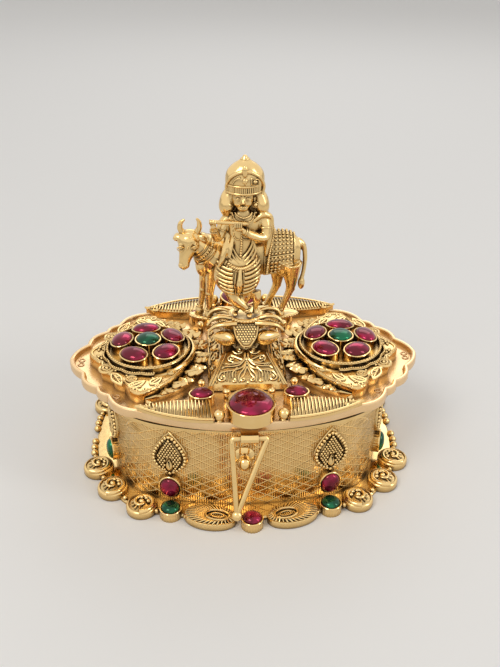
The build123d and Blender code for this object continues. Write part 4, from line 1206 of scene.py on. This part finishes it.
# cast figures: closed shapes fused into one smooth skin
def fused(parts, grain, rounds):
    mesh = joinedMesh("draft", parts)
    draft = newObject("draft", mesh)
    remesh = draft.modifiers.new("skin", "REMESH")
    remesh.mode = "VOXEL"
    remesh.voxel_size = grain
    ease = draft.modifiers.new("ease", "SMOOTH")
    ease.factor = 0.5
    ease.iterations = rounds
    ready = draft.evaluated_get(bpy.context.evaluated_depsgraph_get())
    result = ready.to_mesh()
    count = len(result.vertices)
    flat = np.empty(count * 3)
    result.vertices.foreach_get("co", flat)
    faces = [tuple(polygon.vertices) for polygon in result.polygons]
    ready.to_mesh_clear()
    bpy.data.objects.remove(draft)
    bpy.data.meshes.remove(mesh)
    return flat.reshape(count, 3), faces


def limb(points, radii, around=16, steps=5, flat=1.0):
    path = curve(points, steps)
    sizes = curve([[r] for r in radii], steps)[:, 0]
    return tube(path, np.maximum(sizes, 0.05), around, flat=flat)


def rolled(centre, axis, radius, thick, around=22):
    # a small ring about an axis
    axis = np.array(axis, float) / np.linalg.norm(axis)
    side = np.cross(axis, (0.3, 1, 0.2))
    side /= np.linalg.norm(side)
    other = np.cross(axis, side)
    a = fullTurn(around)
    return tube(np.asarray(centre) + radius * (np.outer(np.cos(a), side) + np.outer(np.sin(a), other)),
                thick, 6, True)


figure = {"grain": 0.16, "ease": 3, "pleats": 7, "faceX": -0.8, "beltZ": 47.7}
skirtRings = [(-1.1, 0.1, 48.6, 3.0, 2.2), (-1.55, 0.1, 46.6, 4.5, 2.9), (-1.75, 0.1, 44.2, 5.2, 3.3),
              (-1.8, 0.1, 42.0, 5.0, 3.25), (-1.75, 0.1, 40.4, 4.3, 2.8), (-1.6, 0.1, 39.3, 3.4, 2.3)]
skirtOvals = curve(skirtRings, 6)


def onSkirt(x, z, out=0.0):
    # the front of the skirt at a place
    cx, cy, _, p, q = skirtOvals[int(np.argmin(np.abs(skirtOvals[:, 2] - z)))]
    share = min(0.985, abs((x - cx) / p))
    return (x, cy - (q + out) * math.sqrt(1 - share ** 2), z)


def figureBody():
    torso = barrel([(-1.2, 0.1, 46.8, 3.9, 2.6), (-1.1, 0, 49.2, 2.8, 2.0), (-0.9, -0.05, 51.4, 2.85, 2.05),
                    (-0.55, -0.05, 53.8, 3.6, 2.2), (-0.3, 0.05, 56.0, 4.1, 2.15),
                    (-0.3, 0.15, 57.5, 3.5, 1.75), (-0.6, 0, 58.4, 1.5, 1.3), (-0.75, -0.2, 60, 1.25, 1.25)])
    body = [torso, barrel(skirtRings),
            limb([(-3.2, 0.1, 41.4), (-2.6, -1.1, 38.4), (-0.6, -1.3, 36.3), (0.6, -1.3, 34.9)],
                  [1.9, 1.45, 1.05, 0.75]),
            limb([(-0.2, 0.2, 41.4), (0.1, -0.4, 38.4), (-1.3, -0.2, 36.2), (-2.2, -0.4, 34.9)],
                  [1.9, 1.45, 1.05, 0.75]),
            ball((0.75, -2.1, 34.5), (0.75, 1.35, 0.5)), ball((-2.3, -1.3, 34.5), (0.75, 1.35, 0.5)),
            limb([(3.0, 0.2, 56.7), (3.9, -0.4, 55.6), (3.9, -1.5, 52.9), (1.6, -2.9, 53.5),
                  (-0.8, -3.4, 55.0)], [1.3, 1.35, 1.15, 0.95, 0.62]),
            ball((-1.6, -3.5, 55.5), (0.95, 0.6, 0.6)),
            limb([(-3.6, 0.2, 56.6), (-4.7, -0.2, 55.3), (-6.0, -1.4, 52.7), (-6.7, -2.6, 54.4),
                  (-6.9, -3.2, 55.6)], [1.3, 1.25, 1.0, 0.85, 0.6]),
            ball((-6.95, -3.4, 56.2), (0.65, 0.6, 0.95)), ball((-0.8, -0.75, 61.5), (2.4, 2.25, 3.0)),
            ball((-0.8, -1.7, 59.6), (1.25, 1.1, 1.0)), ball((-1.9, -1.75, 60.6), (0.85, 0.75, 0.9)),
            ball((0.3, -1.75, 60.6), (0.85, 0.75, 0.9)),
            limb([(-0.8, -2.75, 62.2), (-0.8, -3.1, 61.4), (-0.8, -3.45, 60.85)], [0.2, 0.26, 0.38], 10),
            ball((-1.1, -3.12, 60.75), 0.26), ball((-0.5, -3.12, 60.75), 0.26),
            barrel([(-0.6, -0.2, 62.7, 3.1, 2.75), (-0.4, 0, 63.7, 3.85, 3.1), (-0.3, 0.1, 65.2, 4.1, 3.3),
                    (-0.3, 0.1, 66.8, 3.75, 3.0), (-0.3, 0.1, 68.1, 2.65, 2.3), (-0.3, 0, 69.05, 1.3, 1.2),
                    (-0.3, 0, 69.6, 0.72, 0.72), (-0.3, 0, 70.1, 0.4, 0.4)])]
    # scarf ends behind the cheeks, over the shoulders and down the sides
    body += [limb([(-3.1, 0.4, 62.8), (-3.9, 0.2, 61.0), (-4.2, -0.1, 59.0), (-4.1, -0.3, 57.4)],
                   [1.3, 1.8, 1.9, 1.1], flat=0.8),
             limb([(2.1, 0.4, 62.6), (3.0, 0.2, 61.0), (3.4, -0.1, 59.0), (3.5, -0.3, 57.6)],
                   [1.3, 1.8, 1.9, 1.1], flat=0.8),
             limb([(1.4, -1.5, 56.3), (3.2, -1.2, 57.6), (4.9, -0.4, 57.0), (5.3, 0.1, 54.4),
                   (4.9, 0.4, 51.0), (4.4, 0.6, 47.5)], [0.5, 0.75, 0.85, 0.75, 0.8, 0.6], flat=0.8),
             limb([(-3.9, -0.6, 53.4), (-4.4, -1.6, 51.0), (-5.1, -2.2, 48.3), (-5.9, -2.0, 46.2)],
                   [0.5, 0.65, 0.6, 0.35], flat=0.7),
             limb([(-2.9, -1.5, 53.0), (-3.3, -2.2, 50.8), (-3.7, -2.7, 48.6)], [0.4, 0.55, 0.35],
                   flat=0.7),
             ball((-0.5, 0.9, 60.2), (3.7, 1.5, 3.9)), ball((-0.4, 0.9, 57.2), (4.6, 1.5, 1.9)),
             limb([(2.2, -0.6, 39.6), (2.5, -0.9, 37.6), (2.2, -0.9, 35.6), (2.3, -0.9, 34.3)],
                   [1.25, 0.95, 0.55, 0.85])]
    return body


def figureFace():
    # lids, brows, lips and ears on ordinary proportions
    parts, middle = [], figure["faceX"]
    for side in (-1, 1):
        x = middle + side * 1.02
        parts.append(ball((x, -2.62, 61.6), (0.55, 0.38, 0.3), 8, 12))
        parts.append(tube(curve([(x - 0.66, -2.55, 61.62), (x, -2.98, 61.95), (x + 0.66, -2.55, 61.62)],
                                4), 0.13, 6))
        parts.append(tube(curve([(x - 0.66, -2.6, 61.5), (x, -2.95, 61.28), (x + 0.66, -2.55, 61.5)],
                                4), 0.1, 6))
        parts.append(tube(curve([(x - 0.72 * side, -2.85, 62.2), (x, -2.9, 62.55),
                                 (x + 0.76 * side, -2.3, 62.3)], 4), 0.17, 6))
        parts.append(ball((middle + side * 2.45, -0.9, 61.0), (0.35, 0.6, 0.8)))
        parts.append(ball((middle + side * 2.65, -1.4, 60.0), 0.5, 10, 14))
        parts.append(rolled((middle + side * 2.65, -1.5, 60.0), (0, 1, 0), 0.62, 0.12))
    parts.append(tube(curve([(-1.5, -2.7, 60.0), (-1.05, -2.98, 60.1), (-0.8, -3.0, 60.03),
                             (-0.55, -2.98, 60.1), (-0.1, -2.7, 60.0)], 4), 0.13, 6))
    parts.append(tube(curve([(-1.35, -2.7, 59.92), (-0.8, -3.02, 59.75), (-0.25, -2.7, 59.92)], 4), 0.15, 6))
    return parts


def figureHeadgear():
    # hatched band, arched hood edge, plume and square jewel
    turn = np.radians(np.linspace(195, 345, 25))
    band = np.stack([-0.5 + 3.6 * np.cos(turn), -0.2 + 2.95 * np.sin(turn)], 1)
    parts = [tube(level(band * 1.02, z), 0.26, 8) for z in (62.85, 64.4)]
    parts += [tube([(*p, 63.0), (*(p * 1.02), 64.3)], 0.2, 6) for p in band]
    arch = curve([(-3.8, -0.6, 61.8), (-4.1, -1.1, 64.0), (-3.4, -2.05, 66.0), (-1.8, -2.65, 67.2),
                  (-0.35, -2.8, 67.5), (1.1, -2.65, 67.2), (2.7, -2.05, 66.0), (3.5, -1.1, 64.0),
                  (3.2, -0.6, 61.8)], 6)
    parts.append(tube(arch, 0.4, 10))
    parts.append(ball((-0.45, -3.0, 67.6), (0.6, 0.45, 1.3), 10, 16))
    parts.append(ball((-0.45, -3.0, 65.6), (0.62, 0.4, 0.62), 10, 16))
    parts.append(tube(curve([(-0.45, -3.0, 64.6), (-0.45, -3.3, 65.4), (-0.45, -3.1, 66.4)], 4), 0.16, 6))
    parts.append(tube(np.array([(0.75, -3.15, 66.2), (2.3, -2.7, 65.9), (2.45, -2.75, 64.7),
                                (0.9, -3.25, 64.95)]), 0.17, 6, True))
    parts.append(ball((1.6, -2.95, 65.45), (0.5, 0.3, 0.4), 8, 12))
    parts.append(tube(curve([(-3.0, -2.5, 64.9), (-2.4, -2.9, 65.9), (-1.4, -3.05, 66.4)], 4), 0.16, 6))
    parts.append(rolled((-0.3, 0, 69.35), (0, 0, 1), 0.86, 0.16))
    parts.append(ball((-0.3, 0, 69.85), (0.5, 0.5, 0.35), 8, 14))
    return parts


def figureJewels():
    # necklaces, thread and garland
    parts, middle = [], -0.6
    for drop, thick, reach in ((57.3, 0.22, 1.75), (56.3, 0.2, 2.4), (52.6, 0.24, 2.6)):
        string = [(middle - reach, -1.3, 58.2), (middle - reach * 0.7, -1.9, drop + 0.4),
                  (middle, -2.2, drop), (middle + reach * 0.7, -1.9, drop + 0.4),
                  (middle + reach, -1.3, 58.2)]
        parts += granules(curve(string, 6), thick, 5, 7)
    parts.append(ball((middle, -2.35, 56.0), (0.7, 0.4, 0.8), 8, 12))
    for side, swing in ((-1, 0.5), (1, 0.0)):
        for k in range(3):
            x, low = -0.9 + side * (2.2 + 0.35 * k), 49.4 - k * 0.9 - swing
            chain = [(x - side * 0.5, -1.75, low + 4.2), (x, -1.7, low + 2.2),
                     (x - side * 0.9, -2.0, low + 0.3), (x - side * 2.0, -2.45, low - 0.9)]
            parts.append(tube(curve(chain, 5), 0.26, 7))
    thread = [(-0.9, -2.2, 54.6), (-1.0, -2.3, 52.6), (-1.1, -2.35, 50.6), (-1.2, -2.5, 49.0)]
    garland = [(3.6, -1.5, 57.6), (5.2, -0.7, 56.6), (5.9, -0.2, 53.6), (5.5, 0.0, 50.4), (5.0, -0.2, 47.0),
               (4.6, -0.3, 43.6)]
    parts += granules(along(curve(thread, 8), 0.5, False), 0.3, 5, 8)
    parts += granules(along(curve(garland, 8), 0.42, False), 0.27, 5, 7)
    return parts


def figureHands():
    # arm and ankle rings, and the fingers on the flute
    parts = []
    for centre, axis, radius in (((3.95, -0.9, 54.6), (0, 0.4, 1), 1.25),
                                 ((0.1, -3.15, 54.4), (1, 0.3, -0.6), 0.85),
                                 ((-0.3, -3.3, 54.75), (1, 0.3, -0.6), 0.75),
                                 ((-5.3, -0.8, 54.1), (-0.5, -0.5, -1), 1.15),
                                 ((-6.85, -3.0, 55.2), (0, -0.3, 1), 0.72),
                                 ((-6.8, -2.8, 54.8), (0, -0.3, 1), 0.78),
                                 ((0.3, -1.35, 35.5), (0.4, 0, -1), 0.95),
                                 ((-1.9, -0.35, 35.6), (-0.4, 0, -1), 0.95)):
        parts.append(rolled(centre, axis, radius, 0.17))
    for k in range(4):
        x = -1.1 - k * 0.42
        parts.append(limb([(x, -3.5, 55.3), (x - 0.12, -4.05, 56.1), (x - 0.1, -3.95, 56.9)],
                          [0.2, 0.2, 0.16], 8, 3))
        y = -6.6 - k * 0.3
        parts.append(limb([(y, -3.5, 56.4), (y, -4.0, 56.9 + 0.1 * k), (y, -3.7, 57.6)],
                          [0.19, 0.19, 0.15], 8, 3))
    return parts


def figureCloth():
    # twisted belt, hanging sash and curved pleats
    parts = []
    for phase in (0, math.pi):
        path = []
        for s in np.linspace(-1, 1, 60):
            base = np.array(onSkirt(-1.15 + s * 3.5, figure["beltZ"] - 1.5 * (1 - s * s), 0.3))
            a = s * 26 + phase
            path.append(base + (0, 0.24 * math.sin(a), 0.24 * math.cos(a)))
        parts.append(tube(path, 0.25, 7))
    row = [onSkirt(-1.2 + s * 3.3, 46.9 - 1.3 * (1 - s * s), 0.25) for s in np.linspace(-1, 1, 15)]
    parts += granules(row, 0.3, 5, 8)
    sash = ((-1.3, 46.2, 0.3), (-1.4, 44.6, 0.4), (-1.5, 42.8, 0.5), (-1.55, 41.2, 0.4), (-1.5, 40.2, 0.3))
    parts.append(limb([onSkirt(*place) for place in sash], [0.4, 0.5, 0.72, 0.6, 0.25], 12))
    for side in (-1, 1):
        hem = ((-1.4 + side * 0.75, 46.0, 0.15), (-1.5 + side * 0.95, 43.0, 0.2),
               (-1.5 + side * 0.8, 40.2, 0.2))
        parts.append(limb([onSkirt(*place) for place in hem], [0.2, 0.24, 0.18], 8))
        for k in range(figure["pleats"]):
            z, lift = 45.9 - k * 0.96, 1.5 if k < 3 else 1
            wide = 4.7 if k < 4 else 4.5 - 0.3 * (k - 3)
            path = [onSkirt(-1.7 + side * wide * s, z + 1.25 * (s - 0.25) ** 2 * lift, 0.12)
                    for s in np.linspace(0.26, 1.0, 12)]
            parts.append(tube(path, np.linspace(0.46, 0.28, 12), 8))
        row = [onSkirt(-1.65 + side * s, 39.9 + 0.1 * s, 0.15) for s in np.linspace(0.3, 3.4, 8)]
        parts += granules(row, 0.26, 5, 7)
    return parts


def makeFluteFigure():
    parts = [fused(figureBody(), figure["grain"], figure["ease"])]
    parts += figureFace() + figureHeadgear() + figureJewels() + figureHands() + figureCloth()
    return piece("fluteFigure", parts, castGold, "lid", ["flute_figure"], 60)


def makeFlute():
    start, end = np.array((-7.8, -3.5, 57.2)), np.array((0.2, -3.5, 56.6))
    parts = [tube(np.array([start, start * 0.66 + end * 0.34, start * 0.33 + end * 0.67, end]),
                  [0.42, 0.45, 0.45, 0.42], 14)]
    for s in (0.01, 0.1, 0.86, 0.99):
        parts.append(rolled(start + (end - start) * s, end - start, 0.44, 0.1))
    return piece("flute", parts, polishedGold, "lid", ["flute"], 40)


cow = {"grain": 0.2, "ease": 4, "midY": 4.4}
cowSpine = curve([(-9.5, 45.4, 2.2, 1.7), (-7.8, 45.9, 4.4, 2.8), (-4.0, 45.9, 4.9, 3.3),
                  (1.5, 46.0, 4.9, 3.5), (6.5, 46.6, 4.9, 3.4), (10.3, 46.9, 4.3, 2.8),
                  (12.3, 46.9, 2.4, 1.5)], 6)


def onTrunk(x, turn, out=0.0):
    # the trunk's surface at a length and a turn round it
    _, z, h, d = cowSpine[int(np.argmin(np.abs(cowSpine[:, 0] - x)))]
    return (x, cow["midY"] - (d + out) * math.cos(turn), z + (h + out) * math.sin(turn))


def cowBody():
    a = fullTurn(30)
    trunk = skin([np.stack([np.full(30, x), cow["midY"] + d * np.cos(a), z + h * np.sin(a)], 1)
                  for x, z, h, d in cowSpine])
    body = [trunk,
            limb([(-6.4, 4.4, 46.6), (-8.8, 4.0, 48.2), (-10.4, 3.4, 49.8), (-11.5, 2.9, 50.9)],
                  [4.2, 3.3, 2.5, 2.0]),
            ball((-9.3, 3.6, 44.2), (1.7, 1.5, 2.9)), ball((-10.2, 3.0, 46.6), (1.2, 1.1, 2.2)),
            limb([(-12.0, 2.9, 52.0), (-12.2, 2.4, 50.6), (-12.6, 1.5, 48.5), (-13.1, 0.9, 46.8),
                  (-13.3, 0.6, 45.6)], [1.9, 2.5, 1.85, 1.35, 1.15]),
            ball((-13.6, 1.0, 50.0), (0.85, 0.8, 0.75)), ball((-10.9, 0.85, 50.0), (0.85, 0.8, 0.75)),
            ball((-13.35, 0.45, 45.6), (1.3, 1.05, 0.95)), ball((-13.1, 1.2, 45.1), (0.9, 0.9, 0.6)),
            ball((-12.0, 2.6, 52.2), (2.1, 1.2, 0.8)), ball((8.4, 4.4, 45.2), (3.6, 3.3, 4.4)),
            ball((-7.6, 4.4, 44.6), (2.6, 2.9, 3.4))]
    for yy, top, mid, low, hoof in ((5.5, -8.0, -8.9, -9.9, -10.2), (3.3, -7.0, -7.5, -7.9, -8.1)):
        body.append(limb([(top, yy, 44.0), (mid, yy, 40.4), (mid - 0.35, yy, 37.2), (low, yy, 33.6),
                          (hoof, yy, 32.3)], [1.9, 1.3, 0.95, 0.72, 0.9]))
        body.append(ball((mid - 0.35, yy - 0.1, 37.2), (1.0, 0.95, 1.0)))
    for yy, xs in ((5.5, (8.2, 7.6, 7.4, 5.8, 5.2)), (3.3, (10.3, 10.4, 10.3, 8.9, 8.2))):
        body.append(limb([(xs[0], yy, 44.6), (xs[1], yy, 41.0), (xs[2], yy, 38.0), (xs[3], yy, 34.2),
                          (xs[4], yy, 32.4)], [2.6, 1.7, 1.0, 0.75, 0.9]))
        body.append(ball((xs[2] + 0.15, yy, 38.1), (1.05, 0.9, 1.0)))
    body.append(limb([(11.6, 4.4, 49.4), (13.0, 4.4, 48.2), (13.5, 4.4, 45.2), (13.3, 4.4, 42.0),
                      (12.9, 4.4, 40.0)], [0.8, 0.62, 0.52, 0.48, 0.5]))
    body.append(ball((12.9, 4.4, 38.9), (0.85, 0.8, 1.6)))
    for x, tip, z in ((-13.6, -15.4, 50.7), (-10.2, -8.3, 50.9)):
        body.append(limb([(x, 2.7, 51.2), ((x + tip) / 2, 2.6, 51.4), (tip, 2.4, z)],
                         [0.6, 1.15, 0.6], flat=0.7))
    return body


def cowHead():
    # horns, eyes, nostrils, mouth and poll band
    parts = []
    for points in ([(-13.3, 2.6, 52.2), (-14.0, 2.5, 53.3), (-13.8, 2.4, 54.6), (-13.0, 2.3, 55.4)],
                   [(-10.5, 2.6, 52.2), (-9.9, 2.5, 53.4), (-9.9, 2.4, 54.7), (-10.4, 2.3, 55.6)]):
        parts.append(limb(points, [0.72, 0.62, 0.48, 0.25], 14))
    for x, yy in ((-13.95, 0.05), (-10.95, -0.1)):
        parts.append(ball((x, yy, 49.8), (0.56, 0.42, 0.4), 10, 14))
        lid = [(x - 0.75, yy - 0.1, 49.85), (x, yy - 0.45, 50.3), (x + 0.75, yy - 0.1, 49.85)]
        parts.append(tube(curve(lid, 5), 0.16, 6))
        parts.append(tube(curve([(a, b, 99.4 - c) for a, b, c in lid], 5), 0.11, 6))
    for x in (-13.85, -12.95):
        parts.append(ball((x, -0.42, 45.75), (0.2, 0.16, 0.16)))
    parts.append(tube(curve([(-14.1, 0.3, 45.15), (-13.4, -0.55, 44.95), (-12.6, 0.2, 45.15)], 5), 0.11, 6))
    parts += granules(curve([(-13.5, 1.7, 51.5), (-12.1, 0.55, 51.9), (-10.6, 1.6, 51.5)], 5), 0.24, 5, 7)
    parts += granules(curve([(-12.05, 0.45, 51.6), (-12.2, 0.15, 50.6), (-12.45, -0.1, 49.6)], 4), 0.22, 5, 7)
    return parts


def cowHooves():
    parts = []
    for x, yy in ((-10.2, 5.5), (-8.1, 3.3), (5.2, 5.5), (8.2, 3.3)):
        parts.append(placed(shrunkSolid(circle(1.0, 18),
                                        [(1.0, 31.45), (1.02, 31.8), (0.82, 32.6), (0.6, 32.9)]), (x, yy, 0)))
        parts.append(rolled((x, yy, 33.1), (0, 0, 1), 0.78, 0.2))
    return parts


def cowCollar():
    # ropes and a row of beads across the neck
    low, high = np.array((-8.2, 4.05, 47.6)), np.array((-10.2, 3.4, 49.4))
    parts = []
    for share, radius, thick in ((0.0, 3.5, 0.3), (0.25, 3.15, 0.22), (0.5, 2.85, 0.3), (0.75, 2.6, 0.22)):
        centre = low * (1 - share) + high * share
        parts.append(rolled(centre, (-0.72, -0.22, 0.66), radius + 0.12, thick, 40))
    middle = np.array((-9.0, 3.8, 48.3))
    across, upward = np.array((0.29, -0.95, 0)), np.array((0.63, 0.19, 0.75))
    ring = [middle + 3.15 * (math.cos(t) * across + math.sin(t) * upward)
            for t in fullTurn(50)]
    return parts + granules(along(ring, 0.62), 0.3, 5, 7)


def cowBlanket():
    # dotted, over the rump, with a beaded edge, and the hair at the end of the tail
    parts = []
    for x in np.arange(4.9, 10.5, 0.86):
        for turn in np.arange(-0.8, math.pi + 0.81, 0.205):
            parts.append(ball(onTrunk(x, turn, 0.16), 0.33, 6, 8))
    for turn in (-0.95, math.pi + 0.95):
        parts.append(tube(np.array([onTrunk(x, turn, 0.12) for x in np.arange(4.3, 10.9, 0.4)]), 0.24, 7))
    for x in (4.2, 10.8):
        hoop = [onTrunk(x, turn, 0.1) for turn in np.linspace(-0.95, math.pi + 0.95, 40)]
        parts.append(tube(np.array(hoop), 0.24, 7))
    for turn in (0.1, math.pi - 0.1):
        parts.append(tube(np.array([onTrunk(x, turn, 0.14) for x in np.arange(4.3, 10.9, 0.4)]), 0.2, 6))
    for k in range(5):
        hair = [(12.5 + 0.2 * k, 3.75 + 0.3 * k, 40.0), (12.4 + 0.25 * k, 3.7 + 0.35 * k, 38.9),
                (12.8, 4.4, 37.4)]
        parts.append(tube(curve(hair, 4), 0.17, 5))
    return parts


def makeCow():
    parts = [fused(cowBody(), cow["grain"], cow["ease"])]
    parts += cowHead() + cowHooves() + cowCollar() + cowBlanket()
    return piece("cow", parts, castGold, "lid", ["cow"], 60)


makeFluteFigure()
makeFlute()
makeCow()
print("figures ready")


# stage, light and camera

def makeStage():
    half = 9.0  # metres
    mesh = bpy.data.meshes.new("floor")
    mesh.from_pydata([(-half, -half, 0), (half, -half, 0), (half, half, 0), (-half, half, 0)], [],
                     [(0, 1, 2, 3)])
    floor = newObject("floor", mesh)
    look, tree, shader = newLook("paleFloor")
    shader.inputs["Roughness"].default_value = 0.75
    noise = tree.nodes.new("ShaderNodeTexNoise")
    noise.inputs["Scale"].default_value = 40
    tint = mixColours(tree, noise.outputs["Fac"], (0.87, 0.86, 0.845), (0.9, 0.89, 0.875))
    feed(tree, tint, shader.inputs["Base Color"])
    mesh.materials.append(look)


lamps = {
    "keyPanel": {"place": (-0.25, -0.25, 0.45), "aim": 0.03, "size": (0.22, 0.22), "watts": 0.8,
                 "colour": (1, 0.98, 0.94)},
    "sidePanel": {"place": (0.4, -0.15, 0.25), "aim": 0.03, "size": (0.1, 0.3), "watts": 0.4,
                  "colour": (1, 1, 1)},
    "backPanel": {"place": (0.1, 0.45, 0.35), "aim": 0.04, "size": (0.4, 0.2), "watts": 0.35,
                  "colour": (1, 1, 1)}}


def makeLamp(name, values):
    lamp = bpy.data.lights.new(name, "AREA")
    lamp.shape = "RECTANGLE"
    lamp.size, lamp.size_y = values["size"]
    lamp.energy = values["watts"]
    lamp.color = values["colour"]
    holder = newObject(name, lamp)
    holder.location = values["place"]
    target = Vector((0, 0, values["aim"]))
    holder.rotation_euler = (target - Vector(values["place"])).to_track_quat("-Z", "Y").to_euler()


def makeWorld():
    # seen and mirrored as white, while it lights the box more softly
    values = {"seen": ((1, 1, 1), 1.0), "lit": ((1.0, 0.98, 0.95), 0.5)}
    world = bpy.data.worlds.new("studioAir")
    bpy.context.scene.world = world
    world.use_nodes = True
    tree = world.node_tree
    tree.nodes.clear()
    output = tree.nodes.new("ShaderNodeOutputWorld")
    mix = tree.nodes.new("ShaderNodeMixShader")
    for name, socket in (("lit", mix.inputs[1]), ("seen", mix.inputs[2])):
        air = tree.nodes.new("ShaderNodeBackground")
        feed(tree, values[name][0], air.inputs["Color"])
        feed(tree, values[name][1], air.inputs["Strength"])
        feed(tree, air.outputs[0], socket)
    rays = tree.nodes.new("ShaderNodeLightPath").outputs
    bounced = mathNode(tree, "MAXIMUM", rays["Is Glossy Ray"], rays["Is Transmission Ray"])
    feed(tree, mathNode(tree, "MAXIMUM", rays["Is Camera Ray"], bounced), mix.inputs[0])
    feed(tree, mix.outputs[0], output.inputs[0])


def makeCamera():
    # the photograph's place and turn: fitted azimuth, height angle and roll in degrees, place in metres
    values = {"turn": -3.77, "rise": 30.0, "roll": 0.72, "lens": 44.74, "place": (-0.0096, -0.163, 0.1227)}
    turn, rise, roll = (math.radians(values[angle]) for angle in ("turn", "rise", "roll"))
    back = Vector((math.sin(turn) * math.cos(rise), -math.cos(turn) * math.cos(rise), math.sin(rise)))
    right = Vector((math.cos(turn), math.sin(turn), 0))
    up = back.cross(right)
    rolledRight = math.cos(roll) * right + math.sin(roll) * up
    rolledUp = -math.sin(roll) * right + math.cos(roll) * up
    camera = bpy.data.cameras.new("photoView")
    camera.lens = values["lens"]
    camera.sensor_width = 36.0
    camera.clip_start = 0.01
    holder = newObject("photoView", camera)
    matrix = Matrix((rolledRight, rolledUp, back)).transposed().to_4x4()
    matrix.translation = Vector(values["place"])
    holder.matrix_world = matrix
    bpy.context.scene.camera = holder


def finishCarriedParts():
    # the parts of the construction keep their shape and take the same finishes
    for name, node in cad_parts.items():
        look = trayGold if name.startswith("lid_tray") else polishedGold
        if "rub" in name and "bezel" not in name:
            look = rubyLook
        if "emerald" in name and "bezel" not in name:
            look = emeraldLook
        if name in ("flute_figure", "cow"):
            look = castGold
        node.data.materials.clear()
        node.data.materials.append(look)


finishCarriedParts()
makeStage()
for name, values in lamps.items():
    makeLamp(name, values)
makeWorld()
makeCamera()
bpy.context.scene.view_settings.view_transform = "Standard"
print("scene ready")
